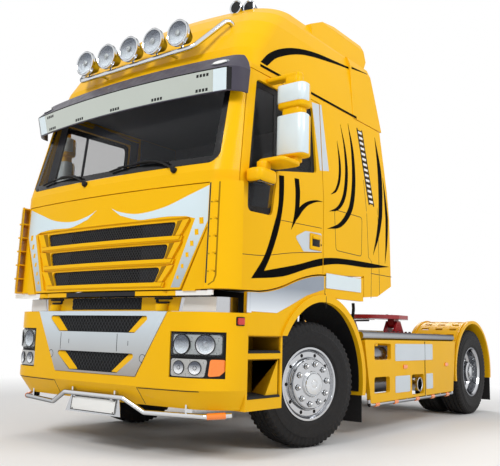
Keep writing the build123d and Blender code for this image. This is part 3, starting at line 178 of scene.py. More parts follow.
# materials of the solids that are not painted, and the slot each material stands for
NODE_MAT = {
    "frame_grey": "frame_rails crossmembers rear_axle front_axle_beam front_springs knuckle_left "
                  "knuckle_right tail_beam engine_block",
    "rubber": "front_tyre_left front_tyre_right rear_tyres_left rear_tyres_right air_bellows mudflaps",
    "polished": "front_rim_left front_rim_right rear_rims_left rear_rims_right fuel_tank silencer front_band "
                "skirt_rails",
    "steel_band": "sill_trims",
    "deck": "deck_plate",
    "silver": "bumper_panel",
    "chrome": "light_bar lower_bar horns",
    "glass": "windscreen door_glass_left door_glass_right",
    "black": "bumper_mesh grille_mesh dashboard steering_wheel headlamps cab_floor",
    "trim_grey": "sun_visor",
    "red_iron": "fifth_wheel_plate fifth_wheel_base",
    "red_lens": "tail_lamps",
    "fabric": "seats",
}
SLOT_MATS = {
    "paint": "paint shade_paint",
    "frame_grey": "frame_grey",
    "tyre": "rubber",
    "glass": "glass lens",
    "black_plastic": "black gloss_black wire trim_grey lining decal dark_plate",
    "red_iron": "red_iron",
    "lamp_red": "red_lens amber",
    "seat_cloth": "fabric",
}


def inverse(table):
    return {name: key for key, names in table.items() for name in names.split()}


MAT_OF, SLOT_OF = inverse(NODE_MAT), inverse(SLOT_MATS)
for name, obj in NODES.items():
    obj.data.materials.clear()
    obj.data.materials.append(MAT[MAT_OF.get(name, "paint")])

# The mesh being built: the helpers add forms to it, put makes it a piece and empties it
bm = bmesh.new()


def put(name, mats, body, angle=40.0):
    bmesh.ops.recalc_face_normals(bm, faces=bm.faces[:])
    me = bpy.data.meshes.new(name)
    bm.to_mesh(me)
    bm.clear()
    mats = mats.split()
    for key in mats:
        me.materials.append(MAT[key])
    me.shade_smooth()
    me.set_sharp_from_angle(angle=radians(angle))
    obj = bpy.data.objects.new(name, me)
    bpy.context.collection.objects.link(obj)
    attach(obj, body)
    return obj


def merge(part, mat=None, mi=0):
    for f in part.faces:
        f.material_index = mi
    if mat is not None:
        part.transform(mat)
    me = bpy.data.meshes.new("part")
    part.to_mesh(me)
    part.free()
    bm.from_mesh(me)
    bpy.data.meshes.remove(me)


def box(lo, hi, bevel=0.0, mat=None, mi=0, seg=2):
    part = bmesh.new()
    size = [h - l for l, h in zip(lo, hi)]
    mid = [(h + l) / 2 for l, h in zip(lo, hi)]
    bmesh.ops.create_cube(part, size=1.0, matrix=Matrix.Translation(mid) @ Matrix.Diagonal((*size, 1)))
    if bevel:
        bmesh.ops.bevel(part, geom=part.edges[:], offset=bevel, segments=seg, profile=0.5, affect="EDGES")
    merge(part, mat, mi)


# a box on one side of the truck, and one on each side
def xbox(sx, lo, hi, bevel=0.0, mi=0):
    a, b = sorted((sx * lo[0], sx * hi[0]))
    box((a, *lo[1:]), (b, *hi[1:]), bevel, None, mi)


def boxes(lo, hi, bevel=0.0, mi=0):
    for sx in BOTH:
        xbox(sx, lo, hi, bevel, mi)


# the frame at a point whose Z runs along an axis
def at(point, axis):
    return Matrix.Translation(point) @ Vector(axis).to_track_quat("Z", "Y").to_matrix().to_4x4()


# skin over rings of points, where a ring may be one point; a loop joins the last ring to the first
def join(rings, mi=0, loop=False):
    n = max(map(len, rings))
    for a, b in zip(rings, rings[1:] + rings[:1] if loop else rings[1:]):
        for k in range(n):
            m = (k + 1) % n
            corners = dict.fromkeys((a[k % len(a)], a[m % len(a)], b[m % len(b)], b[k % len(b)]))
            if len(corners) > 2:
                bm.faces.new(list(corners)).material_index = mi
    for ring in (rings[0], rings[-1]):
        if len(ring) > 1 and not loop:
            bm.faces.new(ring).material_index = mi


# profile of (radius, height) turned about the matrix's Z
def lathe(profile, mat, n=32, mi=0, loop=False):
    rings = []
    for r, h in profile:
        turns = [tau * k / n for k in range(n)] if r else [0.0]
        rings.append([bm.verts.new(mat @ Vector((r * cos(a), r * sin(a), h))) for a in turns])
    join(rings, mi, loop)


def pipe(points, r, n=10, mi=0):
    points = [Vector(p) for p in points]
    last = len(points) - 1
    side = (points[min(1, last)] - points[0]).normalized().orthogonal().normalized()
    rings = []
    for i, p in enumerate(points):
        d = (points[min(i + 1, last)] - points[max(i - 1, 0)]).normalized()
        side = (side - d * side.dot(d)).normalized()
        other = d.cross(side)
        rings.append([bm.verts.new(p + side * (r * cos(tau * k / n)) + other * (r * sin(tau * k / n)))
                      for k in range(n)])
    join(rings, mi)


# smooth curve through points of any size
def curve(points, n=8):
    pts = [Vector(p) for p in points]
    pts = [pts[0] * 2 - pts[1]] + pts + [pts[-1] * 2 - pts[-2]]
    out = []
    for a, b, c, d in zip(pts, pts[1:], pts[2:], pts[3:]):
        for k in range(n):
            t = k / n
            out.append(0.5 * (2 * b + (c - a) * t + (2 * a - 5 * b + 4 * c - d) * t * t
                              + (3 * b - a - 3 * c + d) * t ** 3))
    return out + [pts[-2]]


def smooth(points, n=5):
    return [(p.x, p.y) for p in curve([(*p, 0) for p in points], n)]


# Outlines, as lists of (u, v)
THINNEST = 0.0004


# a stripe along points of (u, v, half width)
def ribbon(points, n=8):
    mid = curve(points, n) if n > 1 else [Vector(p) for p in points]
    left, right = [], []
    for i, p in enumerate(mid):
        d = mid[min(i + 1, len(mid) - 1)] - mid[max(i - 1, 0)]
        s = Vector((-d.y, d.x)).normalized() * max(p.z, THINNEST)
        left.append((p.x + s.x, p.y + s.y))
        right.append((p.x - s.x, p.y - s.y))
    return left + right[::-1]


def line(points, width):
    return ribbon([(*p, width / 2) for p in points], 1)


def lines_round(points, width):
    return [line([a, b], width) for a, b in zip(points, points[1:] + points[:1])]


def rounded(points, r, n=4):
    out = []
    k = len(points)
    for i in range(k):
        p, a, b = (Vector(points[j % k]) for j in (i, i - 1, i + 1))
        da, db = (a - p).normalized(), (b - p).normalized()
        half = da.angle(db) / 2
        cut = min(r / max(0.2, abs(sin(half) / max(cos(half), 1e-3))),
                  (a - p).length / 2.05, (b - p).length / 2.05)
        s, e = p + da * cut, p + db * cut
        for j in range(n + 1):
            t = j / n
            q = s * (1 - t) ** 2 + p * 2 * t * (1 - t) + e * t * t
            out.append((q.x, q.y))
    return out


def rect(u0, v0, u1, v1, r=0.0, n=4):
    corners = [(u0, v0), (u1, v0), (u1, v1), (u0, v1)]
    return rounded(corners, r, n) if r else corners


# a trapezoid across the truck, by the height and half width of two edges
def wide(v0, u0, v1, u1):
    return [(-u0, v0), (u0, v0), (u1, v1), (-u1, v1)]


def disc(u, v, ru, rv=None, n=20):
    return [(u + ru * cos(tau * k / n), v + (rv or ru) * sin(tau * k / n)) for k in range(n)]


def flip(sx, points):
    return [(sx * u, v) for u, v in points]


# Surfaces to lay outlines on: (u, v) to a point, seen along an axis
FAR = 8.0


class Face:
    def __init__(self, axis, sign, *nodes):
        verts, faces = [], []
        for name in nodes:
            me, world = NODES[name].data, NODES[name].matrix_world
            base = len(verts)
            verts += [world @ v.co for v in me.vertices]
            faces += [[base + i for i in p.vertices] for p in me.polygons]
        self.tree = BVHTree.FromPolygons(verts, faces)
        self.out = Vector([sign if i == axis else 0 for i in range(3)])
        self.uv = [i for i in range(3) if i != axis]

    def __call__(self, u, v):
        start = self.out * FAR
        start[self.uv[0]], start[self.uv[1]] = u, v
        return self.tree.ray_cast(start, -self.out)[0]


# the front found along one height, used at every height
class Level:
    def __init__(self, face, z):
        self.face, self.z, self.out, self.uv = face, z, face.out, face.uv

    def __call__(self, x, z):
        p = self.face(x, self.z)
        return p and Vector((x, p.y, z))


# a thin closed skin of an outline on a surface, cut at a low and a high limit of u
def drape(outline, face, lift=0.0015, sink=0.002, step=0.06, mi=0, clip=(None, None)):
    flat = bmesh.new()
    first = flat.faces.new([flat.verts.new((u, v, 0)) for u, v in outline])
    first.normal_update()
    bmesh.ops.triangulate(flat, faces=[first])
    along_u, along_v = Vector((1, 0, 0)), Vector((0, 1, 0))

    def cut(way, place, **kw):
        bmesh.ops.bisect_plane(flat, geom=flat.verts[:] + flat.edges[:] + flat.faces[:], plane_co=way * place,
                               plane_no=way, **kw)

    for way in (along_u, along_v):
        places = [v.co.dot(way) for v in flat.verts]
        for k in range(ceil(min(places) / step), floor(max(places) / step) + 1):
            cut(way, k * step)
    low, high = clip
    if low is not None:
        cut(along_u, low, clear_inner=True)
    if high is not None:
        cut(along_u, high, clear_outer=True)
    flat.verts.index_update()
    hits = [face(v.co.x, v.co.y) for v in flat.verts]
    found = [i for i, h in enumerate(hits) if h is not None]
    if not found:
        flat.free()
        return
    # a point beside the surface takes the depth of the nearest point on it
    spots = [v.co.copy() for v in flat.verts]
    for i, h in enumerate(hits):
        if h is None:
            near = min(found, key=lambda j: (spots[j] - spots[i]).length)
            p = hits[near].copy()
            p[face.uv[0]], p[face.uv[1]] = spots[i].x, spots[i].y
            hits[i] = p
    top = [bm.verts.new(h + face.out * lift) for h in hits]
    under = [bm.verts.new(h - face.out * sink) for h in hits]
    for f in flat.faces:
        idx = [v.index for v in f.verts]
        bm.faces.new([top[i] for i in idx]).material_index = mi
        bm.faces.new([under[i] for i in reversed(idx)]).material_index = mi
    for e in flat.edges:
        if len(e.link_faces) == 1:
            a, b = (v.index for v in e.verts)
            bm.faces.new([top[a], top[b], under[b], under[a]]).material_index = mi
    flat.free()


# an outline, or a line, on the left and its mirror image on the right
def pair(outline, face, **kw):
    for sx in BOTH:
        drape(flip(sx, outline), face, **kw)


def pair_line(points, width, face, **kw):
    for sx in BOTH:
        drape(line(flip(sx, points), width), face, **kw)


# a block on each side of a face, with corners of (u, v, lift)
def ramps(corners, face, sink=0.004, mi=0):
    for sx in BOTH:
        spots = [(face(sx * u, v), lift) for u, v, lift in corners]
        top = [bm.verts.new(p + face.out * lift) for p, lift in spots]
        under = [bm.verts.new(p - face.out * sink) for p, lift in spots]
        walls = [[top[i - 1], under[i - 1], under[i], top[i]] for i in range(len(top))]
        for corner_verts in [top, under[::-1]] + walls:
            bm.faces.new(corner_verts).material_index = mi


# crossed wires over a trapezoid given by low_z, low_x, top_z, top_x
WIRE_R, WIRE_SLOPE = 0.0028, 1.35


def lattice(quad, face, pitch=0.036, lift=0.003, mi=0):
    z0, x0, z1, x1 = quad
    reach = ceil((max(x0, x1) + (z1 - z0)) / pitch)
    heights = [z0 + (z1 - z0) * j / 24 for j in range(25)]
    for lean in (-1, 1):
        for k in range(-reach, reach + 1):
            inside = []
            for z in heights:
                x = k * pitch + lean * (z - (z0 + z1) / 2) / WIRE_SLOPE
                if abs(x) <= x0 + (x1 - x0) * (z - z0) / (z1 - z0):
                    inside.append((x, z))
            if len(inside) > 2:
                ends = [face(*inside[0]), face(*inside[-1])]
                if None not in ends:
                    pipe([e + face.out * lift for e in ends], WIRE_R, 4, mi)


# Wheels: tyres with grooves and notched shoulders, nuts with a painted shadow round each front nut, caps and
# dark holes
HUB_Z, FRONT_AXLE_Y, REAR_AXLE_Y = 0.522, -1.5, 2.2
KINGPIN_X, TRAIL, STEER_REST = 0.92, 0.12, radians(-15.0)
TWIN_X = (1.092, 0.76)
FRONT_HALF, REAR_HALF = 0.15, 0.143
NOTCHES, NOTCH_DEPTH, NOTCH_TUCK = 64, 0.009, 0.985


def tyre(w, mat):
    # across the tyre from the bead: place, radius, cut by a notch
    half = [(0.109, 0.288, 0), (0.115, 0.304, 0), (w - 0.013, 0.328, 0), (w - 0.009, 0.344, 0),
            (w - 0.01, 0.35, 0), (w - 0.002, 0.392, 0), (w, 0.412, 0), (w - 0.001, 0.436, 0),
            (w - 0.0055, 0.441, 0), (w - 0.009, 0.466, 1), (w - 0.016, 0.5, 1), (w - 0.03, 0.5165, 1),
            (0.1, 0.5185, 1), (0.084, 0.519, 0), (0.082, 0.506, 0), (0.073, 0.506, 0), (0.071, 0.5195, 0),
            (0.036, 0.5213, 0), (0.034, 0.508, 0), (0.026, 0.508, 0), (0.024, 0.5216, 0)]
    rows = half + [(0.0, 0.522, 0)] + [(-x, r, c) for x, r, c in reversed(half)]
    steps = NOTCHES * 4
    rings = []
    for x, r, notched in rows:
        ring = []
        for k in range(steps):
            rr, xx = (r - NOTCH_DEPTH, x * NOTCH_TUCK) if notched and k % 4 >= 2 else (r, x)
            a = tau * k / steps
            ring.append(bm.verts.new(mat @ Vector((xx, rr * cos(a), rr * sin(a)))))
        rings.append(ring)
    join(rings, loop=True)


SIDEWAYS = Matrix.Rotation(pi / 2, 4, "Y")
NUT = [(0.021, 0.0), (0.021, 0.006), (0.017, 0.007), (0.0165, 0.018), (0.015, 0.026), (0.01, 0.032),
       (0.0, 0.034)]
FRONT_CAP = [(0.104, 0.164), (0.104, 0.172), (0.098, 0.176), (0.094, 0.172), (0.09, 0.172), (0.086, 0.18),
             (0.06, 0.187), (0.034, 0.19), (0.03, 0.188), (0.026, 0.19), (0.0, 0.192)]
REAR_CAP = [(0.068, 0.108), (0.068, 0.118), (0.06, 0.124), (0.03, 0.128), (0.0, 0.129)]


# turned forms in a circle on a wheel
def ring_of(profile, count, at_r, x, mat, n, start=0.0, mi=0):
    for k in range(count):
        a = tau * k / count + start
        lathe(profile, mat @ Matrix.Translation((x, at_r * cos(a), at_r * sin(a))) @ SIDEWAYS, n, mi)


def plug(r, h):
    return [(r, 0.0), (r, h), (0.0, h)]


for sx, tag, side in SIDES:
    turn = Matrix.Rotation(0 if sx > 0 else pi, 4, "Z")
    front = Matrix.Translation((sx * KINGPIN_X, FRONT_AXLE_Y, HUB_Z)) @ Matrix.Rotation(STEER_REST, 4, "Z") \
        @ Matrix.Translation((sx * TRAIL, 0, 0)) @ turn
    rears = [Matrix.Translation((sx * x, REAR_AXLE_Y, HUB_Z)) @ turn for x in TWIN_X]
    tyre(FRONT_HALF, front)
    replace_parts(put("tread_front_" + tag, "rubber", "wheel_f" + tag, 25), "front_tyre_" + side)
    for m in rears:
        tyre(REAR_HALF, m)
    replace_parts(put("tread_rear_" + tag, "rubber", "wheel_r" + tag, 25), "rear_tyres_" + side)

    ring_of(NUT, 10, 0.165, 0.158, front, 10, 0.15)
    lathe(FRONT_CAP, front @ SIDEWAYS, 40)
    lathe([(0.2, 0.12), (0.212, 0.122), (0.212, 0.13), (0.202, 0.132)], front @ SIDEWAYS, 48)
    ring_of(plug(0.0155, 0.0035), 10, 0.244, 0.101, front, 14, mi=1)
    # black discs a little wider than the nuts: a painted shadow round each front nut
    ring_of(plug(0.025, 0.002), 10, 0.165, 0.1585, front, 14, 0.15, 1)
    put("hub_front_" + tag, "chrome black", "wheel_f" + tag)

    outer = rears[0]
    ring_of(NUT, 10, 0.163, -0.024, outer, 10, 0.3)
    ring_of([(0.012, 0.0), (0.012, 0.007), (0.008, 0.01), (0.0, 0.01)], 8, 0.088, 0.11, outer, 8)
    lathe(REAR_CAP, outer @ SIDEWAYS, 32)
    ring_of(plug(0.0232, 0.006), 10, 0.22, -0.033, outer, 16, mi=1)
    put("hub_rear_" + tag, "chrome black", "wheel_r" + tag)

# Black liners inside the front wheel arches
LINER_R, LINER_X = (0.688, 0.6855), (0.802, 1.222)
for sx, tag, side in SIDES:
    corners = [(LINER_X[i], LINER_R[j]) for i, j in ((0, 0), (1, 0), (1, 1), (0, 1))]
    join([[bm.verts.new((sx * x, FRONT_AXLE_Y - r * cos(radians(a)), HUB_Z + r * sin(radians(a))))
           for x, r in corners] for a in range(36, 190, 4)])
    put("arch_liner_" + tag, "black", "chassis")


# Front: grille wires and slot ends, silver bands, middle strip
# slots: low_z, low_x, top_z, top_x
GRILLE = [(1.64, 0.745, 1.75, 0.78), (1.468, 0.68, 1.582, 0.715), (1.293, 0.6, 1.408, 0.655)]
PLATE_X = 0.43
mesh_face = Face(1, -1, "grille_mesh")
drape(wide(1.264, 0.64, 1.788, 0.813), mesh_face, lift=0.0, sink=0.006)
for z0, x0, z1, x1 in GRILLE:
    lattice((z0, x0, z1, x1), mesh_face, pitch=0.028, lift=0.0095, mi=1)
    pair([(PLATE_X, z0), (x0 - 0.003, z0), (x1 - 0.003, z1), (PLATE_X, z1)], mesh_face, lift=0.008, mi=2)
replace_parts(put("grille_wires", "black wire dark_plate", "grille_flap"), "grille_mesh")

flap_face = Face(1, -1, "front_flap")
for z0, x0, z1, x1 in GRILLE:
    ramps([(x0 + 0.012, z0 + 0.004, 0.001), (x0 + 0.092, z0 + 0.004, 0.02), (x1 + 0.135, z1 + 0.012, 0.022),
           (x1 + 0.014, z1 + 0.004, 0.001)], flap_face)
    # a narrow facet of painted shade along the inner edge of each slot end
    ramps([(x0 + 0.006, z0 + 0.004, 0.0012), (x0 + 0.03, z0 + 0.004, 0.0085), (x1 + 0.06, z1 + 0.006, 0.0112),
           (x1 + 0.008, z1 + 0.004, 0.0012)], flap_face, mi=1)
put("grille_slot_ends", "paint shade_paint", "grille_flap", 20)

# a plain band beside the grille that runs into a tapered wave over it, with small marks
upper = smooth([(0.09, 1.906), (0.2, 1.866), (0.4, 1.836), (0.66, 1.866), (0.9, 1.943), (1.084, 2.006)])
lower = [(1.084, 1.752), (0.858, 1.252), (0.778, 1.252), (0.965, 1.76)]
lower += smooth([(0.88, 1.783), (0.7, 1.792), (0.55, 1.788), (0.4, 1.788), (0.2, 1.838)])
pair(upper + lower, flap_face)
put("front_bands", "applique", "grille_flap")
for k in range(6):
    u, v, s = 1.022 - 0.037 * k, 1.74 - 0.083 * k, 0.03 - 0.0028 * k
    low, top = v - s * 0.8, v + s * 0.8
    pair([(u - s * 0.5, low), (u + s * 0.7, low), (u + s * 0.5, top), (u - s * 0.7, top)], flap_face,
         lift=0.0032, step=0.2)
put("front_band_marks", "paint", "grille_flap")

STRIP_LOW, STRIP_TOP = 1.092, 1.184
MESH_X, LATCH_X = 0.415, 0.635
band_face = Face(1, -1, "front_band")
drape(wide(1.082, 0.78, 1.186, 0.8), band_face, lift=0.004)
for x in (LATCH_X, -LATCH_X):
    lathe([(0.052, 0.0), (0.052, 0.046), (0.046, 0.052), (0.0, 0.053)],
          Matrix.Translation((x, band_face(x, 1.11).y - 0.02, 1.08)), 24)
put("middle_strip", "paint", "chassis")
drape(wide(STRIP_LOW, MESH_X, STRIP_TOP, MESH_X), band_face, lift=0.006)
lattice((STRIP_LOW, MESH_X, STRIP_TOP, MESH_X), band_face, lift=0.008, mi=1)
for sx in BOTH:
    y = band_face(sx * LATCH_X, 1.16).y
    for x0, x1, z0, z1, reach in ((-0.085, 0.085, 1.168, 1.185, 0.02), (-0.06, 0.06, 1.14, 1.153, 0.024),
                                  (-0.07, -0.05, 1.145, 1.172, 0.02)):
        xbox(sx, (LATCH_X + x0, y - reach, z0), (LATCH_X + x1, y + 0.004, z1), 0.004)
put("middle_mesh", "black wire", "chassis")
pair([(0.81, 1.084), (1.1, 1.084), (1.1, 1.186), (0.835, 1.186)], band_face, lift=0.003)
put("corner_plates", "white", "chassis")

# Bumper: mesh, slot ends, lines and covers on the steel panel
BUMPER_SLOTS = [(0.912, 0.452, 1.042, 0.612), (0.606, 0.285, 0.757, 0.492)]
mesh_face, panel_face, bumper_face = (Face(1, -1, name) for name in ("bumper_mesh", "bumper_panel", "bumper"))
drape(wide(0.592, 0.475, 1.073, 0.76), mesh_face, lift=0.0, sink=0.005)
for z0, x0, z1, x1 in BUMPER_SLOTS:
    lattice((z0, x0 - 0.09, z1, x1 - 0.12), mesh_face, mi=1)
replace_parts(put("bumper_wires", "black wire", "chassis"), "bumper_mesh")
for z0, x0, z1, x1 in BUMPER_SLOTS:
    ramps([(x0 - 0.085, z0 + 0.006, 0.002), (x0 - 0.004, z0 + 0.004, 0.022), (x1 - 0.004, z1 - 0.004, 0.024),
           (x1 - 0.11, z1 - 0.006, 0.002)], mesh_face, 0.0)
put("bumper_slot_ends", "paint", "chassis", 20)
panel_lines = [line([(x, z0), (x, z1)], 0.005) for x, z0, z1 in (
    (-0.42, 0.768, 0.902), (0.27, 0.768, 0.902), (-0.31, 0.815, 0.85), (0.39, 0.815, 0.85))]
for x in (-0.545, 0.545):
    panel_lines += lines_round(disc(x, 0.725, 0.03), 0.004)
for outline in panel_lines:
    drape(outline, panel_face, lift=0.0006)
pair_line([(0.5, 0.385), (0.49, 0.512)], 0.006, bumper_face, lift=0.0006, step=0.03)
pair_line([(0.5, 0.508), (0.8, 0.51), (1.05, 0.512)], 0.006, bumper_face, lift=0.002, step=0.02)
put("bumper_seams", "black", "chassis")

# Headlamps: two bowls over two fog lamps and an indicator, under clear glass
DISH = [(1.0, 0.0), (1.0, 0.11), (0.95, 0.135), (0.87, 0.125), (0.72, 0.062), (0.42, 0.042), (0.31, 0.055),
        (0.24, 0.105), (0.12, 0.122), (0.0, 0.125)]
BEZEL = [(0.99, 0.0), (1.07, 0.0), (1.07, 0.12), (1.02, 0.16), (0.96, 0.15), (0.96, 0.1)]
BULB = [(0.34, 0.05), (0.3, 0.13), (0.0, 0.15)]
MAIN_R, FOG_R, FOG_Z, BRIDGE_X = 0.07, 0.047, 0.676, 0.948
BOWLS = ((0.905, 0.841, MAIN_R), (1.078, 0.841, MAIN_R), (0.882, FOG_Z, FOG_R), (1.014, FOG_Z, FOG_R))
lamp_face = Level(Face(1, -1, "headlamps"), 0.757)


def lamp_frame(x, z):
    d = lamp_face(x + 0.03, z) - lamp_face(x - 0.03, z)
    out = Vector((d.y, -d.x, 0)).normalized()
    return at(lamp_face(x, z), out if out.y < 0 else -out)


def scaled(profile, r, rise=0.0):
    return [(a * r, b * r + rise) for a, b in profile]


for sx, tag, side in SIDES:
    drape(flip(sx, rect(0.826, 0.772, 1.166, 0.91, 0.02)), lamp_face, lift=0.002, step=0.03)
    drape(flip(sx, rounded([(0.812, 0.614), (1.078, 0.614), (1.094, 0.738), (0.812, 0.738)], 0.02)),
          lamp_face, lift=0.003, step=0.03)
    for x, z, r in BOWLS:
        m = lamp_frame(sx * x, z)
        lathe(scaled(DISH, r, 0.0015), m, 28, 1 if r == MAIN_R else 3)
        lathe(scaled(BEZEL, r, 0.0015), m, 28, 2, True)
        if r == FOG_R:
            lathe(scaled(BULB, r), m, 16, 2)
    y = lamp_face(sx * BRIDGE_X, FOG_Z).y
    xbox(sx, (BRIDGE_X - 0.016, y - 0.006, 0.67), (BRIDGE_X + 0.016, y + 0.002, 0.68), 0.002)
    put("lamp_faces_" + tag, "housing main_bowl gloss_black fog_bowl", "chassis")
    outline = rounded([(1.1, 0.616), (1.16, 0.624), (1.184, 0.66), (1.184, 0.738), (1.112, 0.738)], 0.015)
    drape(flip(sx, outline), lamp_face, lift=0.006, step=0.03)
    put("indicator_" + tag, "amber", "chassis")
    drape(flip(sx, rect(0.816, 0.762, 1.176, 0.92, 0.02)), lamp_face, lift=0.0125, sink=-0.0115, step=0.03)
    put("lamp_glass_" + tag, "lens", "chassis")

# Blank plate on a steel holder under the bar, and lamps on the bar
PLATE_W, PLATE_H, RIM = 0.262, 0.056, 0.006
tilt = Matrix.Translation((0, -2.904, 0.345)) @ Matrix.Rotation(radians(-8), 4, "X")
box((-PLATE_W, -0.01, -PLATE_H), (PLATE_W, -0.006, PLATE_H), 0.0015, tilt)
for u in (-0.24, 0.24):
    for v in (-0.044, 0.044):
        lathe([(0.006, 0.0), (0.005, 0.003), (0.0, 0.0035)], tilt @ at((u, -0.01, v), (0, -1, 0)), 10, 1)
for u0, u1, v0, v1 in ((-PLATE_W, PLATE_W, PLATE_H - RIM, PLATE_H),
                       (-PLATE_W, PLATE_W, -PLATE_H, RIM - PLATE_H),
                       (-PLATE_W, RIM - PLATE_W, -PLATE_H, PLATE_H),
                       (PLATE_W - RIM, PLATE_W, -PLATE_H, PLATE_H)):
    box((u0, -0.012, v0), (u1, -0.009, v1), 0.001, tilt, 1)
put("number_plate_blank", "white black", "chassis")
join([[bm.verts.new(tilt @ Vector((u, y, v))) for u, v in wide(0.066, 0.285, -0.068, 0.325)]
      for y in (-0.005, 0.001)])
boxes((0.206, -2.926, 0.395), (0.234, -2.896, 0.408), 0.003)
put("plate_holder", "polished", "chassis")
for sx in BOTH:
    a, b = Vector((sx * 1.055, -2.77, 0.335)), Vector((sx * 1.15, -2.671, 0.343))
    end = (b - a).length
    lathe([(0.02, 0.0), (0.0235, 0.004), (0.0235, end - 0.004), (0.02, end)], at(a, b - a), 18)
put("bar_lamps", "amber", "chassis")

# Windscreen border and wipers
screen_face = Face(1, -1, "windscreen")
SCREEN_BORDER = [wide(2.186, 1.118, 2.24, 1.113), wide(2.93, 1.078, 2.85, 1.083)]
SCREEN_BORDER += [flip(sx, [(1.118, 2.19), (1.062, 2.19), (1.034, 2.928), (1.078, 2.928)]) for sx in BOTH]
for outline in SCREEN_BORDER:
    drape(outline, screen_face, lift=0.001, sink=0.001)
put("screen_border", "gloss_black", "cab")
cowl_face = Face(1, -1, "windscreen", "cab_front_frame")
PIVOT_Z, BLADE_Z, BLADE_RISE, BLADE_PARTS = 2.15, 2.226, 0.03, 10


def off_screen(x, z, off):
    return cowl_face(x, z) + Vector((0, -off, 0))


# pivot x, far end of the blade, near end of the blade
for px, x0, x1 in ((0.735, 0.02, 0.66), (-0.275, -0.94, -0.36)):
    lathe([(0.024, -0.004), (0.024, 0.02), (0.018, 0.03), (0.0, 0.032)],
          at(off_screen(px, PIVOT_Z, 0.0), (0, -1, 0.1)), 16)
    pipe(curve([off_screen(px, PIVOT_Z, 0.026), off_screen(px - 0.05, 2.19, 0.04),
                off_screen(px - 0.2, 2.248, 0.044), off_screen((x0 + x1) / 2, 2.262, 0.036)], 6), 0.0085, 8)
    blade = []
    for k in range(BLADE_PARTS + 1):
        t = k / BLADE_PARTS
        blade.append(off_screen(x0 + (x1 - x0) * t, BLADE_Z + BLADE_RISE * (1 - (2 * t - 1) ** 2), 0.022))
    pipe(blade, 0.0075, 6)
    pipe([p + Vector((0, 0.01, -0.002)) for p in blade], 0.004, 6)
    for p in blade[2::3]:
        box((p.x - 0.035, p.y - 0.01, p.z - 0.006), (p.x + 0.035, p.y + 0.002, p.z + 0.01), 0.003)
put("wipers", "black", "cab")

# Sun visor: pale lower band, small vents, end lamps
BAND_LOW, BAND_TOP = 2.752, 2.915
visor_face = Face(1, -1, "sun_visor")
drape(wide(BAND_LOW, 1.02, BAND_TOP, 1.04), visor_face, lift=0.002)
# the pale shell ends of the band are a painted highlight, with black tips beyond them
for x0, x1, step, mi in ((1.02, 1.135, 0.02, 1), (1.135, 1.17, 0.01, 2)):
    pair([(x0, BAND_LOW), (x1, BAND_LOW), (x1 + 0.02, BAND_TOP), (x0 + 0.02, BAND_TOP)], visor_face,
         lift=0.002, step=step, mi=mi)
put("visor_band", "pale_band shell gloss_black", "cab")
VENTS = [(x, 2.775) for x in (-0.92, -0.48, 0.0, 0.48, 0.92)] + [(0.94, 2.885), (-0.94, 2.885)]
for x, z in VENTS:
    for k in range(4):
        u = x + (k - 1.5) * 0.03
        drape([(u - 0.012, z - 0.011), (u + 0.008, z - 0.011), (u + 0.012, z + 0.011),
               (u - 0.008, z + 0.011)], visor_face, lift=0.003, step=0.2)
drape(wide(BAND_TOP, 1.17, 2.924, 1.17), visor_face, lift=0.0025)
put("visor_vents", "gloss_black", "cab")
for sx in BOTH:
    drape(disc(sx * 1.06, 2.988, 0.075, 0.03, 28), visor_face, lift=0.007, step=0.03)
    drape(disc(sx * 1.06, 2.988, 0.058, 0.02, 28), visor_face, lift=0.012, step=0.02, mi=1)
put("visor_lamps", "chrome white_lens", "cab")

# Roof lamps and horn mouths
ROOF_BOWL = [(0.106, -0.002), (0.113, 0.002), (0.113, 0.012), (0.106, 0.018), (0.099, 0.013), (0.094, 0.004),
             (0.07, 0.001), (0.045, 0.0), (0.02, 0.002), (0.0, 0.002)]
ROOF_LENS = [(0.1, 0.0115), (0.098, 0.0145), (0.07, 0.021), (0.036, 0.025), (0.0, 0.026), (0.0, 0.0245),
             (0.036, 0.0235), (0.07, 0.0195)]
ROOF_RING = [(0.112, 0.0), (0.1145, 0.004), (0.1145, 0.012), (0.107, 0.0195), (0.099, 0.0145), (0.104, 0.011)]
for k in range(5):
    m = at(((k - 2) * 0.29, -2.732, 3.355), (0, -1, 0))
    lathe(ROOF_BOWL, m, 40)
    lathe([(0.026, 0.0), (0.026, 0.012), (0.018, 0.018), (0.0, 0.02)], m, 20, 1)
    lathe(ROOF_LENS, m, 40, 2, True)
    lathe(ROOF_RING, m, 40, 3, True)
put("roof_lamp_faces", "roof_bowl housing lens chrome", "cab")
for x, y in ((0.69, -2.125), (0.79, -2.065)):
    m = at((x, y, 3.8), (0, -1, 0))
    lathe([(0.058, -0.004), (0.066, 0.0), (0.066, 0.006), (0.058, 0.008), (0.052, 0.003)], m, 28, 0, True)
    lathe([(0.052, -0.001), (0.052, 0.0015), (0.0, 0.0)], m, 28, 1)
put("horn_mouths", "chrome gloss_black", "cab")

# Corner deflectors: a dark line at the front edge, painted shade standing for the air slot, and fins in a
# channel beside it, with painted shade along the pillar's edge and under each fin
vane_face = Face(1, -1, "corner_deflectors")
FIN_HEIGHTS = (1.372, 1.498, 1.624, 1.75, 1.876)
pair_line([(1.1335, 1.275), (1.1335, 2.005)], 0.009, vane_face, lift=0.001, mi=1)
pair_line([(1.15, 1.262), (1.184, 1.29), (1.194, 1.33), (1.194, 2.012)], 0.009, vane_face, lift=0.001, mi=2)
for z in FIN_HEIGHTS:
    for sx in BOTH:
        y = vane_face(sx * 1.172, z).y
        xbox(sx, (1.142, y - 0.005, z - 0.008), (1.192, y + 0.01, z + 0.008), 0.004)
    # a painted shadow under each fin
    pair_line([(1.142, z - 0.014), (1.19, z - 0.014)], 0.01, vane_face, lift=0.001, mi=2)
put("deflector_ribs", "paint dark_plate shade_paint", "cab")

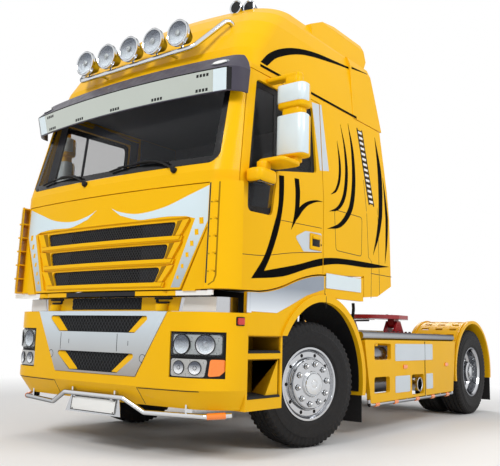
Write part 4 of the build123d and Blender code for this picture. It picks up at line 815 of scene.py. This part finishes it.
# Apron under the cab's front, closing the view between the flap and the strip below it
apron_face = Level(Face(1, -1, "cab_front_frame", "front_flap", "corner_deflectors"), 1.262)
APRON_PARTS = 12
APRON_SPANS = ((-MESH_X, MESH_X, 1), (MESH_X, 0.815, 0), (-0.815, -MESH_X, 0), (0.815, 1.17, 2),
               (-1.17, -0.815, 2))
for x0, x1, mi in APRON_SPANS:
    rings = []
    for k in range(APRON_PARTS + 1):
        x = x0 + (x1 - x0) * k / APRON_PARTS
        y = apron_face(x, 0).y
        rings.append([bm.verts.new((x, y + dy, z)) for dy, z in rect(0.012, 1.193, 0.03, 1.228)])
    join(rings, mi)
put("front_apron", "paint dark_plate white", "cab")


# Sides: stripes, seams and trim, on one face for each door and one for the cab beside it
CAB_NODES = ("cab_front_frame", "cab_sides", "cab_back_wall", "side_fairings", "roof", "roof_fairing")
LOW_NODES = ("front_fenders", "bumper", "step_boxes", "side_skirts")
DOOR_FACE = {tag: Face(0, sx, "door_" + side) for sx, tag, side in SIDES}
CAB_FACE = {tag: Face(0, sx, *CAB_NODES) for sx, tag, side in SIDES}
DOOR_END, CAB_START = -1.508, -1.494


def lay(name, outlines, mats, face, body, **kw):
    for outline in outlines:
        drape(outline, face, **kw)
    put(name, mats, body)


def on_cab(name, outlines, mats, **kw):
    for sx, tag, side in SIDES:
        lay(name + "_" + tag, outlines, mats, CAB_FACE[tag], "cab", **kw)


def on_door(name, outlines, mats, **kw):
    for sx, tag, side in SIDES:
        lay(name + "_" + tag, outlines, mats, DOOR_FACE[tag], "door_" + tag, **kw)


# the same outlines on a door and on the cab behind it, cut at the door's rear edge
def across_door(name, outlines, mats, **kw):
    for sx, tag, side in SIDES:
        door = "door_" + tag
        lay(f"{name}_{door}_{tag}", outlines, mats, DOOR_FACE[tag], door, clip=(None, DOOR_END), **kw)
        lay(f"{name}_cab_{tag}", outlines, mats, CAB_FACE[tag], "cab", clip=(CAB_START, None), **kw)


# the stripe that falls from the window, turns at a point low in front and runs back along the door
fall_out = smooth([(-2.186, 2.19), (-2.194, 1.942), (-2.251, 1.77), (-2.365, 1.524), (-2.529, 1.335)])
fall_in = smooth([(-2.114, 2.2), (-2.129, 1.953), (-2.187, 1.738), (-2.284, 1.533), (-2.367, 1.406)])
run_low = smooth([(-2.529, 1.335), (-2.111, 1.384), (-1.688, 1.492), (-1.242, 1.565), (-0.653, 1.585),
                  (-0.208, 1.633)])
run_top = smooth([(-2.367, 1.406), (-1.908, 1.497), (-1.473, 1.596), (-0.978, 1.628), (-0.208, 1.636)])
across_door("stripe", [fall_out + run_low[1:-1] + run_top[::-1] + fall_in[::-1][1:]], "decal", step=0.1)
SPIKE = [(-1.925, 2.215, 0.034), (-1.915, 2.06, 0.034), (-1.935, 1.91, 0.026), (-2.005, 1.775, 0.001)]
HOOK = [(-1.975, 1.84, 0.006), (-1.925, 1.9, 0.024), (-1.85, 1.975, 0.024), (-1.75, 2.035, 0.016),
        (-1.62, 2.075, 0.008), (-1.518, 2.086, 0.001)]
on_door("stripe_spike", [ribbon(SPIKE), ribbon(HOOK)], "decal")
# the arc over the roof's side and the dark joint below it
roof_out = smooth([(-2.394, 3.086), (-2.266, 3.206), (-2.084, 3.313), (-1.841, 3.408), (-1.525, 3.485),
                   (-1.118, 3.541), (-0.493, 3.62)])
roof_in = smooth([(-2.306, 3.082), (-2.128, 3.22), (-1.763, 3.376), (-1.3, 3.478), (-0.493, 3.612)])
on_cab("roof_arc", [roof_out + roof_in[::-1]], "decal", step=0.04)
on_cab("roof_joint", [line([(-2.4, 3.056), (-0.8, 3.056)], 0.024)], "decal")
# sweeping stripes on the sleeper and the fairing
SWEEPS = [
    [(-1.43, 1.86, 0.001), (-1.2, 1.93, 0.022), (-1.02, 2.1, 0.034), (-0.93, 2.36, 0.034),
     (-0.92, 2.68, 0.024), (-0.98, 2.95, 0.001)],
    [(-1.4, 2.02, 0.001), (-1.24, 2.08, 0.018), (-1.12, 2.22, 0.026), (-1.06, 2.44, 0.026),
     (-1.07, 2.68, 0.016), (-1.13, 2.9, 0.001)],
    [(-1.37, 2.18, 0.001), (-1.27, 2.24, 0.014), (-1.2, 2.36, 0.019), (-1.18, 2.52, 0.018),
     (-1.21, 2.72, 0.001)],
    [(-0.56, 1.72, 0.001), (-0.45, 1.95, 0.03), (-0.38, 2.25, 0.042), (-0.36, 2.6, 0.04),
     (-0.42, 2.95, 0.001)],
    [(-0.3, 1.66, 0.001), (-0.265, 1.9, 0.022), (-0.26, 2.2, 0.026), (-0.29, 2.55, 0.001)],
]
on_cab("sweeps", [ribbon(s) for s in SWEEPS], "decal")
across_door("window_strip", [[(-1.63, 2.972), (-1.468, 2.991), (-1.388, 2.391), (-1.542, 2.364)]],
            "pale_steel")

# seams, and painted shade as black lines along the door's creases
SEAM_W, CREASE_W = 0.006, 0.005
HATCH = rounded([(-1.312, 2.051), (-0.789, 2.056), (-0.799, 1.681), (-1.28, 1.685)], 0.04)
SEAMS = ([(-0.721, 2.442), (-0.689, 2.063), (-0.657, 1.687), (-0.593, 1.653), (-0.604, 1.296)],
         [(-0.46, 2.201), (-0.42, 1.336)], [(-0.604, 1.535), (-0.155, 1.537)])
CREASES = (smooth([(-2.66, 1.505), (-2.365, 1.524), (-2.001, 1.583), (-1.52, 1.64)]),
           [(-2.175, 1.829), (-1.53, 1.85)])
on_cab("seams", [line(p, SEAM_W) for p in SEAMS] + lines_round(HATCH, SEAM_W), "black", lift=0.0006)
on_door("door_crease_shade", [line(p, CREASE_W) for p in CREASES], "black", lift=0.0005)

# window gaskets, one strip round each opening, and the bar between its panes
WF, WR = -2.593, -1.6
WINDOW = rounded([(WF, 1.838), (WF + 0.315, 1.846), (WF + 0.385, 2.222), (WR, 2.33), (WR - 0.02, 2.925),
                  (WF + 0.1425, 2.925), (WF, 2.12)], 0.05)
WINDOW_MID = Vector([sum(p[i] for p in WINDOW) / len(WINDOW) for i in (0, 1)])
GASKET_EDGES, GASKET_LIFT = (0.004, 0.062), (0.003, -0.001)
for sx, tag, side in SIDES:
    glass_face = Face(0, sx, "door_glass_" + side)
    ring = []
    for u, v in WINDOW:
        d = (WINDOW_MID - Vector((u, v))).normalized()
        ring.append([glass_face(u + d.x * s, v + d.y * s) for s in GASKET_EDGES])
    for (a, b), (c, d) in zip(ring, ring[1:] + ring[:1]):
        if None in (a, b, c, d):
            continue
        vs = [bm.verts.new(p + Vector((sx * h, 0, 0))) for p in (a, b, d, c) for h in GASKET_LIFT]
        for idx in ((0, 2, 4, 6), (1, 7, 5, 3), (0, 1, 3, 2), (4, 5, 7, 6)):
            bm.faces.new([vs[j] for j in idx])
    bmesh.ops.remove_doubles(bm, verts=bm.verts[:], dist=0.0004)
    drape(line([(WF + 0.37, 2.19), (WF + 0.42, 2.93)], 0.03), glass_face, lift=0.003)
    put("window_gasket_" + tag, "black", "door_" + tag)

# door handles: a dished steel surround and a grip
on_door("handle_surround", [rounded([(-1.945, 1.725), (-1.791, 1.792), (-1.535, 1.802), (-1.535, 1.64),
                                     (-1.818, 1.616)], 0.02)], "pale_steel", lift=0.003)
# depth from the door, y, z, bevel, material
HANDLE = (((-0.004, 0.014), (-1.728, -1.545), (1.645, 1.786), 0.012, 0),
          ((0.01, 0.0155), (-1.7, -1.58), (1.676, 1.742), 0.002, 1),
          ((0.012, 0.03), (-1.706, -1.574), (1.736, 1.764), 0.009, 0),
          ((0.012, 0.018), (-1.566, -1.552), (1.69, 1.706), 0.002, 1))
for sx, tag, side in SIDES:
    x = abs(DOOR_FACE[tag](-1.63, 1.72).x)
    for out, y, z, bevel, mi in HANDLE:
        xbox(sx, (x + out[0], y[0], z[0]), (x + out[1], y[1], z[1]), bevel, mi)
    put("door_handle_" + tag, "paint black", "door_" + tag)

# intake slats: white facings, dark plates between them and a dark line at each end
SLATS, SLAT_PITCH, SLAT_LOW, SLAT_TOP = 14, 0.05157, 2.218, 2.94


def slat_y(z):
    return -0.626 + (-0.793 + 0.626) * (z - SLAT_LOW) / (SLAT_TOP - SLAT_LOW)


for sx, tag, side in SIDES:
    for k in range(SLATS):
        z = SLAT_LOW + SLAT_PITCH * (k + 0.5)
        y = slat_y(z)
        drape(rect(y + 0.006, z - 0.011, y + 0.079, z + 0.011), CAB_FACE[tag], lift=0.003, step=0.3)
    put("intake_slats_" + tag, "white", "cab")
    for k in range(SLATS + 1):
        z = SLAT_LOW + SLAT_PITCH * k
        y = slat_y(z)
        x = abs(CAB_FACE[tag](y + 0.04, min(max(z + 0.0258, 2.245), 2.91)).x)
        xbox(sx, (x - 0.012, y + 0.002, z - 0.0135), (x - 0.004, y + 0.083, z + 0.0135), 0.001)
    for low_y in (-0.632, -0.535):
        drape(line([(low_y, 2.205), (low_y - 0.168, 2.952)], 0.016), CAB_FACE[tag], lift=0.003)
    put("intake_well_" + tag, "black", "cab")

# Lower sides: marker lamps, rails, panels on the skirt, sill plate, steps
RAIL_X, SKIRT_X = 1.222, 1.248
RAIL_PATH = ((-0.62, 0.345), (-0.585, 0.3), (-0.52, 0.29), (0.45, 0.29), (1.4, 0.292), (1.47, 0.302),
             (1.5, 0.345))
SKIRT_PANELS = ((-0.091, 0.692, 0.868, 0.864), (-0.089, 0.377, 0.262, 0.542), (0.686, 0.38, 0.868, 0.545))
SCREW, SCREW_IN = [(0.008, 0.0), (0.007, 0.004), (0.0, 0.005)], 0.02
STEP_FRONT, STEP_BACK = -2.541, -2.128
WEB = ((0.98, -2.14, 0.47), (1.225, -2.14, 0.47), (1.225, -2.3, 0.47), (1.225, -2.14, 0.735),
       (0.98, -2.14, 0.735))
for sx, tag, side in SIDES:
    low_face, sill_face = Face(0, sx, *LOW_NODES), Face(0, sx, "sill_trims")
    drape(rect(-2.672, 0.982, -2.6, 1.046, 0.01), low_face, lift=0.006, mi=1, step=0.01)
    drape(rect(-2.664, 0.99, -2.608, 1.038, 0.008), low_face, lift=0.014, mi=2, step=0.01)
    for y, z in ((0.143, 0.631), (1.27, 0.634)):
        drape(rect(y - 0.045, z - 0.018, y + 0.045, z + 0.018, 0.01), low_face, lift=0.01)
    for y in (-0.467, -0.049, 0.471, 0.889, 1.322):
        lathe([(0.022, 0.0), (0.0255, 0.004), (0.0255, 0.076), (0.022, 0.08)],
              at((sx * RAIL_X, y - 0.04, 0.29), (0, 1, 0)), 16)
    put("side_markers_" + tag, "amber black red_lens", "chassis")
    pipe(curve([(sx * RAIL_X, y, z) for y, z in RAIL_PATH], 6), 0.019, 12)
    for y in (-0.35, 0.22, 0.72, 1.12):
        xbox(sx, (RAIL_X - 0.012, y - 0.014, 0.288), (RAIL_X + 0.012, y + 0.014, 0.33), 0.004)
    put("lower_rail_" + tag, "chrome", "chassis")
    for y0, z0, y1, z1 in SKIRT_PANELS:
        drape(rect(y0, z0, y1, z1, 0.018), low_face, lift=0.004)
        for y, z in rect(y0 + SCREW_IN, z0 + SCREW_IN, y1 - SCREW_IN, z1 - SCREW_IN):
            lathe(SCREW, at((sx * SKIRT_X, y, z), (sx, 0, 0)), 10)
    put("skirt_panels_" + tag, "pale_steel", "chassis")
    drape(line([(0.655, 0.32), (0.655, 0.89)], 0.006), low_face, lift=0.005, step=0.3)
    drape(line([(-1.482, 1.16), (-1.474, 1.33)], 0.007), low_face, lift=0.001, step=0.03)
    put("skirt_seams_" + tag, "black", "chassis")

    # blank tag plate on the sill and the sill's front end
    drape([(-2.578, 1.082), (-2.525, 1.082), (-2.525, 1.232), (-2.578, 1.23)], low_face, lift=0.003, mi=1)
    drape(rect(-1.462, 1.335, -0.828, 1.465, 0.008), sill_face, lift=0.002)
    put("sill_tag_" + tag, "shell steel_band", "chassis")

    # ribbed rubber treads and a lining of painted shade in each opening, a sloping web at the rear of the
    # lower one
    for z0, z1 in ((0.452, 0.742), (0.784, 0.912)):
        xbox(sx, (0.974, -2.54, z0), (1.244, -2.129, z0 + 0.014), 0.004, 1)
        for k in range(11):
            x = 0.992 + 0.0235 * k
            xbox(sx, (x, -2.532, z0 + 0.012), (x + 0.012, -2.137, z0 + 0.02), 0.003, 1)
        xbox(sx, (0.9705, STEP_FRONT, z0 + 0.01), (0.976, STEP_BACK, z1 - 0.002), 0.001)
        xbox(sx, (0.976, STEP_FRONT, z1 - 0.008), (1.23, STEP_BACK, z1 - 0.001), 0.002)
        for y0, y1 in ((-2.5425, -2.537), (-2.132, -2.1265)):
            xbox(sx, (0.976, y0, z0 + 0.012), (1.226, y1, z1 - 0.006), 0.001)
    web = [bm.verts.new((sx * x, y, z)) for x, y, z in WEB]
    for corners in ((0, 1, 2), (0, 4, 3, 1), (1, 3, 2), (0, 2, 3, 4)):
        bm.faces.new([web[i] for i in corners]).material_index = 2
    put("step_treads_" + tag, "shade_paint rubber paint", "chassis")


# Mirrors: rounded shells with pale covers on yellow arms, silvered glass behind
# levels of a block's rings, the height as a share of the inset and how far the ring tucks in
LOW_RINGS = ((0.0, 1.0), (0.3, 0.35), (1.0, 0.0))
TOP_RINGS = ((-1.0, 0.0), (-0.3, 0.35), (0.0, 1.0))


# an upright rounded block with softened ends
def drum(sx, x, y, z, r, inset=0.012):
    plan = rect(x[0], y[0], x[1], y[1], r, 6)
    mid = Vector(((x[0] + x[1]) / 2, (y[0] + y[1]) / 2))
    half = Vector(((x[1] - x[0]) / 2, (y[1] - y[0]) / 2))
    rings = []
    for end, levels in zip(z, (LOW_RINGS, TOP_RINGS)):
        for level, tuck in levels:
            fx, fy = 1 - inset * tuck / half.x, 1 - inset * tuck / half.y
            rings.append([bm.verts.new((sx * (mid.x + (u - mid.x) * fx), mid.y + (v - mid.y) * fy,
                                        end + inset * level)) for u, v in plan])
    join(rings)


HEAD_X, HEAD_Y, COVER_X, COVER_Y = (1.302, 1.558), (-2.345, -2.197), (1.299, 1.561), (-2.349, -2.222)
MIRROR_ARMS = ((HEAD_X, HEAD_Y, (2.287, 2.618), 0.058),
               (HEAD_X, HEAD_Y, (2.682, 2.868), 0.058),
               ((1.335, 1.525), (-2.325, -2.215), (2.61, 2.69), 0.045, 0.002),
               ((1.36, 1.5), (-2.32, -2.225), (2.862, 2.94), 0.04, 0.004),
               ((1.17, 1.5), (-2.318, -2.232), (2.932, 2.968), 0.04, 0.008),
               ((1.35, 1.498), (-2.312, -2.232), (2.246, 2.292), 0.038, 0.004),
               ((1.238, 1.498), (-2.508, -2.242), (2.216, 2.249), 0.075, 0.008),
               ((1.262, 1.352), (-2.545, -2.44), (2.146, 2.222), 0.04, 0.004),
               ((1.242, 1.4), (-2.655, -2.42), (2.048, 2.15), 0.062, 0.02))
for sx, tag, side in SIDES:
    door = "door_" + tag
    for block in MIRROR_ARMS:
        drum(sx, *block)
    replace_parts(put("mirror_arms_" + tag, "paint", door), "mirror_" + side)
    drum(sx, COVER_X, COVER_Y, (2.303, 2.621), 0.055, 0.006)
    drum(sx, COVER_X, COVER_Y, (2.722, 2.87), 0.055, 0.008)
    put("mirror_covers_" + tag, "shell", door)
    for z0, z1 in ((2.312, 2.594), (2.702, 2.85)):
        xbox(sx, (1.328, -2.206, z0), (1.532, -2.1935, z1), 0.006)
        xbox(sx, (1.336, -2.198, z0 + 0.008), (1.524, -2.1915, z1 - 0.008), 0.002, 1)
    xbox(sx, (1.262, -2.63, 2.044), (1.38, -2.446, 2.054), 0.003)
    xbox(sx, (1.27, -2.622, 2.0425), (1.372, -2.454, 2.049), 0.002, 1)
    put("mirror_glass_" + tag, "black mirror_glass", door)


# Cab interior: dark linings, mats and padded seats
FLOOR_Z, SEAT_X = 1.421, 0.64
box((-1.115, -0.938, 1.425), (1.115, -0.93, 3.03), 0.003)
box((-1.11, -2.5, 3.02), (1.11, -0.94, 3.03), 0.003)
boxes((1.112, -1.485, 1.425), (1.12, -0.94, 3.02), 0.003)
put("cab_linings", "lining", "cab")
WINDOW_STRIPS = ([(-2.46, 2.927), (-1.51, 2.927), (-1.51, 3.02), (-2.43, 3.02)],
                 [(-1.605, 2.3), (-1.51, 2.3), (-1.51, 2.94), (-1.622, 2.94)],
                 [(-2.67, 1.84), (-2.595, 1.84), (-2.595, 2.12), (-2.45, 2.935), (-2.52, 2.935),
                  (-2.67, 2.12)],
                 [(-2.278, 1.83), (-1.51, 1.83), (-1.51, 2.335), (-2.205, 2.222)])
for sx, tag, side in SIDES:
    xbox(sx, (1.17, -2.54, 1.475), (1.183, -1.53, 1.822), 0.005)
    xbox(sx, (1.125, -2.2, 1.64), (1.175, -1.64, 1.7), 0.018)
    xbox(sx, (1.16, -2.44, 1.5), (1.176, -1.7, 1.59), 0.006)
    lay("door_lining_" + tag, WINDOW_STRIPS, "lining", Face(0, -sx, "door_" + side), "door_" + tag,
        lift=0.002)
for x0, x1 in ((-0.98, -0.26), (0.26, 0.98)):
    box((x0, -2.38, FLOOR_Z), (x1, -1.96, 1.43), 0.003)
    for k in range(12):
        y = -2.35 + 0.031 * k
        box((x0 + 0.03, y, 1.428), (x1 - 0.03, y + 0.012, 1.433), 0.001, seg=1)
put("floor_mats", "rubber", "cab")

ROUNDING, PULL_IN = 0.4, 0.035
SEW_DEPTH, SEW_WIDTH, FALL_OFF = 0.1, 0.05, 2.718


# a crowned block whose sides pull in between its corners, with sewn channels across its width
def cushion(center, size, tilt, channels=()):
    part = bmesh.new()
    bmesh.ops.create_cube(part, size=2.0)
    bmesh.ops.subdivide_edges(part, edges=part.edges[:], cuts=19, use_grid_fill=True)
    for v in part.verts:
        x, y, z = v.co
        ball = Vector((x * (1 - y * y / 2 - z * z / 2 + y * y * z * z / 3) ** 0.5,
                       y * (1 - x * x / 2 - z * z / 2 + x * x * z * z / 3) ** 0.5,
                       z * (1 - x * x / 2 - y * y / 2 + x * x * y * y / 3) ** 0.5))
        p = v.co.lerp(ball, ROUNDING)
        pull = 1 - PULL_IN * (1 - z * z)
        sew = 1 - sum(SEW_DEPTH * FALL_OFF ** (-((x - c) / SEW_WIDTH) ** 2) for c in channels)
        v.co = Vector((p.x * pull * size[0], p.y * sew * size[1], p.z * sew * size[2])) / 2
    merge(part, Matrix.Translation(center) @ Matrix.Rotation(tilt, 4, "X"))


CHANNELS = (-0.55, 0.55)
for x in (-SEAT_X, SEAT_X):
    cushion((x, -1.79, 1.762), (0.5, 0.46, 0.155), radians(-2), CHANNELS)
    cushion((x, -1.428, 2.085), (0.48, 0.15, 0.66), radians(-12.9), CHANNELS)
    cushion((x, -1.386, 2.545), (0.3, 0.115, 0.225), radians(-4))
seat_pads = put("seat_pads", "fabric", "cab")
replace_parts(seat_pads, "seats")
for x in (-SEAT_X, SEAT_X):
    box((x - 0.19, -1.93, FLOOR_Z), (x + 0.19, -1.53, 1.665), 0.02)
    box((x - 0.22, -1.96, 1.655), (x + 0.22, -1.5, 1.7), 0.012)
    for u in (x - 0.05, x + 0.05):
        pipe([(u, -1.385, 2.36), (u, -1.385, 2.46)], 0.007, 8)
put("seat_bases", "black", "cab")
for x, half in ((SEAT_X, 0.26), (0.0, 0.18)):
    box((x - half, -2.47, 2.062), (x + half, -2.404, 2.096), 0.012)
    for k in range(3):
        lathe([(0.05, 0.0), (0.05, 0.004), (0.046, 0.006), (0.0, 0.004)],
              at((x + (k - 1) * half * 0.55, -2.413, 1.985), (0, 0.96, 0.25)), 24, 1)
for x in (-0.9, -0.55, 0.3, 0.98):
    for k in range(4):
        z = 1.93 + 0.016 * k
        box((x - 0.07, -2.418, z), (x + 0.07, -2.402, z + 0.008), 0.002)
put("dash_details", "black trim_grey", "cab")

# Behind the cab: pressed ribs, air-line sockets, hand rails, deck treads
back_face = Face(1, 1, "cab_back_wall")
for x in (-0.84, -0.5, 0.5, 0.84):
    drape(rect(x - 0.05, 1.62, x + 0.05, 2.92, 0.04), back_face, lift=0.012, step=0.2)
drape(rect(-0.36, 2.1, 0.36, 2.72, 0.06), back_face, lift=0.008, step=0.2)
put("back_ribs", "paint", "cab", 30)
y = back_face(0.0, 1.76).y
box((-0.3, y - 0.002, 1.66), (0.3, y + 0.01, 1.86), 0.004)
for k in range(5):
    lathe([(0.026, 0.0), (0.026, 0.03), (0.03, 0.034), (0.03, 0.048), (0.02, 0.05), (0.0, 0.046)],
          at((-0.22 + 0.11 * k, y + 0.008, 1.76), (0, 1, 0)), 18, 1)
put("line_sockets", "black polished", "cab")
RAIL = ((-0.8, 1.7), (-0.745, 1.72), (-0.74, 1.8), (-0.75, 2.3), (-0.765, 2.4), (-0.83, 2.42))
for x in (1.03, -1.03):
    pipe(curve([(x, y, z) for y, z in RAIL], 5), 0.014, 10)
put("grab_rails", "black", "cab")
boxes((0.585, -0.64, 0.99), (0.606, 0.96, 1.004), 0.004)
for y in (-0.634, 0.942):
    box((-0.6, y, 0.99), (0.6, y + 0.014, 1.003), 0.004)
for j in range(13):
    for i in range(9):
        place = Matrix.Translation((-0.48 + 0.12 * i, -0.54 + 0.118 * j, 0.9915))
        turn = Matrix.Rotation(radians(45 if (i + j) % 2 else -45), 4, "Z")
        box((-0.034, -0.007, 0.0), (0.034, 0.007, 0.005), 0.002, place @ turn, seg=1)
put("deck_treads", "deck", "chassis")

# Fifth wheel: jaw, bolts, lock handle; frame bolts
UP = (0, 0, 1)
boxes((0.03, 1.8, 1.168), (0.075, 1.96, 1.198), 0.008)
for x in (0.36, -0.36):
    for y in (1.56, 1.7, 1.9, 2.04):
        lathe([(0.016, 0.0), (0.016, 0.004), (0.01, 0.006), (0.0, 0.006)], at((x, y, 1.215), UP), 12)
lathe([(0.052, 0.0), (0.052, 0.012), (0.03, 0.014), (0.03, 0.002)], at((0, 1.8, 1.168), UP), 24, 0, True)
pipe(curve([(-0.1, 1.95, 1.15), (-0.34, 1.95, 1.145), (-0.46, 1.95, 1.14), (-0.5, 1.97, 1.14),
            (-0.5, 2.03, 1.14)], 6), 0.011, 10)
put("coupling_details", "frame_grey", "fifth_wheel")
RAIL_OUT = 0.425
for sx in BOTH:
    for k in range(6):
        lathe([(0.018, 0.0), (0.018, 0.01), (0.013, 0.014), (0.0, 0.014)],
              at((sx * RAIL_OUT, 1.5 + 0.12 * k, 0.994), UP), 6)
    for k in range(14):
        for z in (0.74, 0.94):
            lathe([(0.014, -0.001), (0.014, 0.008), (0.009, 0.011), (0.0, 0.011)],
                  at((sx * RAIL_OUT, -0.62 + 0.25 * k, z), (sx, 0, 0)), 6)
put("frame_bolts", "frame_grey", "chassis")

# Rear: lamp segments, blank plate, mudguard beads, tank fittings, exhaust end
SEGMENTS = ((0.748, 0.862, 0), (0.868, 0.978, 1), (0.984, 1.06, 2), (1.066, 1.172, 0))
for x0, x1, mi in SEGMENTS:
    boxes((x0, 2.945, 0.648), (x1, 2.956, 0.752), 0.004, mi)
    for k in range(4):
        z = 0.66 + 0.024 * k
        boxes((x0 + 0.01, 2.954, z), (x1 - 0.01, 2.959, z + 0.012), 0.002, mi)
put("tail_lenses", "red_lens amber white_lens", "chassis")
box((-0.268, 2.912, 0.52), (0.268, 2.918, 0.642), 0.002, mi=1)
box((-0.26, 2.917, 0.527), (0.26, 2.921, 0.637), 0.002)
boxes((0.18, 2.9, 0.62), (0.22, 2.914, 0.66), 0.003, 1)
put("rear_plate_blank", "white black", "chassis")
GUARD_R, GUARD_FROM, GUARD_TO, GUARD_PARTS = 0.631, 15, 165, 24
turns = [radians(GUARD_FROM + (GUARD_TO - GUARD_FROM) * k / GUARD_PARTS) for k in range(GUARD_PARTS + 1)]
for x in (0.64, 1.205, -0.64, -1.205):
    pipe([(x, REAR_AXLE_Y + GUARD_R * cos(a), HUB_Z + GUARD_R * sin(a)) for a in turns], 0.007, 8)
put("guard_beads", "paint", "chassis")
lathe([(0.07, 0.0), (0.07, 0.02), (0.076, 0.024), (0.076, 0.05), (0.06, 0.056), (0.0, 0.056)],
      at((-1.0, 0.62, 0.835), UP), 28)
box((-1.05, 0.61, 0.887), (-0.95, 0.63, 0.907), 0.005)
for y in (-0.2, 0.22, 0.64):
    box((-1.196, y - 0.025, 0.4), (-1.188, y + 0.025, 0.78), 0.003)
put("tank_fittings", "polished", "chassis")
lathe([(0.058, -0.06), (0.07, 0.0), (0.074, 0.004), (0.074, 0.012), (0.066, 0.014), (0.06, 0.0),
       (0.058, -0.05)], at((1.256, 0.47, 0.44), (1, 0, 0)), 36, 0, True)
put("pipe_lip", "chrome", "chassis")

# Dark guards inside the front arches and the cab's rear rest
boxes((0.515, -2.4, 0.86), (0.523, -0.94, 1.29), 0.002)
boxes((0.78, -0.69, 0.992), (0.9, -0.58, 1.215), 0.012)
boxes((0.43, -0.9, 0.985), (0.52, -0.78, 1.15), 0.01)
boxes((0.56, -0.88, 1.18), (0.96, -0.8, 1.205), 0.008)
HOSE = ((1.0, -0.52, 1.255), (1.0, -0.515, 1.18), (0.97, -0.5, 1.08), (0.9, -0.5, 1.02), (0.8, -0.5, 1.005))
for sx in BOTH:
    pipe(curve([(sx * x, y, z) for x, y, z in HOSE], 6), 0.016, 10)
    pipe([(sx * 0.6, -0.84, 1.02), (sx * 0.62, -0.84, 1.2)], 0.03, 14)
box((-0.9, -0.87, 1.12), (0.9, -0.81, 1.18), 0.01)
put("cab_rest", "black", "chassis")

# Camera at the photograph's view
CAM_POS, CAM_LENS, SENSOR = Vector((4.305, -6.584, 0.924)), 49.27, 36.0
CAM_AZ, CAM_PITCH, CAM_ROLL = radians(37.27), radians(8.41), radians(1.43)
look = Vector((-sin(CAM_AZ) * cos(CAM_PITCH), cos(CAM_AZ) * cos(CAM_PITCH), sin(CAM_PITCH)))
level = Vector((cos(CAM_AZ), sin(CAM_AZ), 0))
upright = level.cross(look)
right = level * cos(CAM_ROLL) + upright * sin(CAM_ROLL)
up = upright * cos(CAM_ROLL) - level * sin(CAM_ROLL)
cam_data = bpy.data.cameras.new("camera")
cam_data.lens = CAM_LENS
cam_data.sensor_width = SENSOR
cam_data.sensor_fit = "HORIZONTAL"
cam = bpy.data.objects.new("camera", cam_data)
cam.matrix_world = Matrix.Translation(CAM_POS) @ Matrix((right, up, -look)).transposed().to_4x4()
bpy.context.collection.objects.link(cam)
bpy.context.scene.camera = cam

# Floor that turns white away from the truck, soft studio light and a white surround
bpy.context.scene.view_settings.view_transform = "Standard"
FLOOR_HALF, FADE_FROM, FADE_TO = 60.0, 4.2, 7.5
SURROUND_LIGHT = 0.5
floor_mesh = bpy.data.meshes.new("floor")
floor_mesh.from_pydata([(u, v, 0) for u, v in rect(-FLOOR_HALF, -FLOOR_HALF, FLOOR_HALF, FLOOR_HALF)], [],
                       [(0, 1, 2, 3)])
floor_obj = bpy.data.objects.new("floor", floor_mesh)
bpy.context.collection.objects.link(floor_obj)
floor_mesh.materials.append(material("floor", (0.8, 0.8, 0.8), 0.9, vary=0.01, scale=0.5))
ft = MAT["floor"].node_tree


# 1 for rays that show the surround itself, 0 for rays that carry its light
def seen_by_eye(tree):
    path = node(tree, "LightPath").outputs
    first = node(tree, "Math", {0: path["Is Camera Ray"], 1: path["Is Glossy Ray"]}, operation="MAXIMUM")
    either = node(tree, "Math", {0: first.outputs[0], 1: path["Is Transmission Ray"]}, operation="MAXIMUM")
    return either.outputs[0]


place = node(ft, "TexCoord").outputs["Object"]
length = node(ft, "VectorMath", {0: place}, operation="LENGTH").outputs["Value"]
far = node(ft, "MapRange", {"Value": length, "From Min": FADE_FROM, "From Max": FADE_TO}).outputs["Result"]
amount = node(ft, "Math", {0: far, 1: seen_by_eye(ft)}, operation="MULTIPLY").outputs[0]
glow = node(ft, "Emission", {"Strength": 1.0}).outputs[0]
blend = node(ft, "MixShader", {0: amount, 1: ft.nodes["Principled BSDF"].outputs[0], 2: glow})
feed(ft, ft.nodes["Material Output"], {"Surface": blend.outputs[0]})

world = bpy.data.worlds.new("studio")
bpy.context.scene.world = world
world.use_nodes = True
wt = world.node_tree
power = node(wt, "MapRange", {"Value": seen_by_eye(wt), "To Min": SURROUND_LIGHT, "To Max": 1.0})
feed(wt, wt.nodes["Background"], {"Strength": power.outputs["Result"], "Color": (1, 1, 1, 1)})


def area(name, pos, target, size, watts):
    data = bpy.data.lights.new(name, "AREA")
    data.shape = "RECTANGLE"
    data.size, data.size_y = size
    data.energy = watts
    lamp = bpy.data.objects.new(name, data)
    lamp.location = pos
    lamp.rotation_euler = (Vector(target) - Vector(pos)).to_track_quat("-Z", "Y").to_euler()
    bpy.context.collection.objects.link(lamp)


area("key", (1.0, -11.0, 8.5), (0, -1, 1.6), (4, 3), 640)
area("side", (9.0, -1.5, 7.0), (0, 0, 1.6), (5, 3), 430)
area("back", (-4.0, 8.0, 7.0), (0, 1, 2), (5, 3), 350)
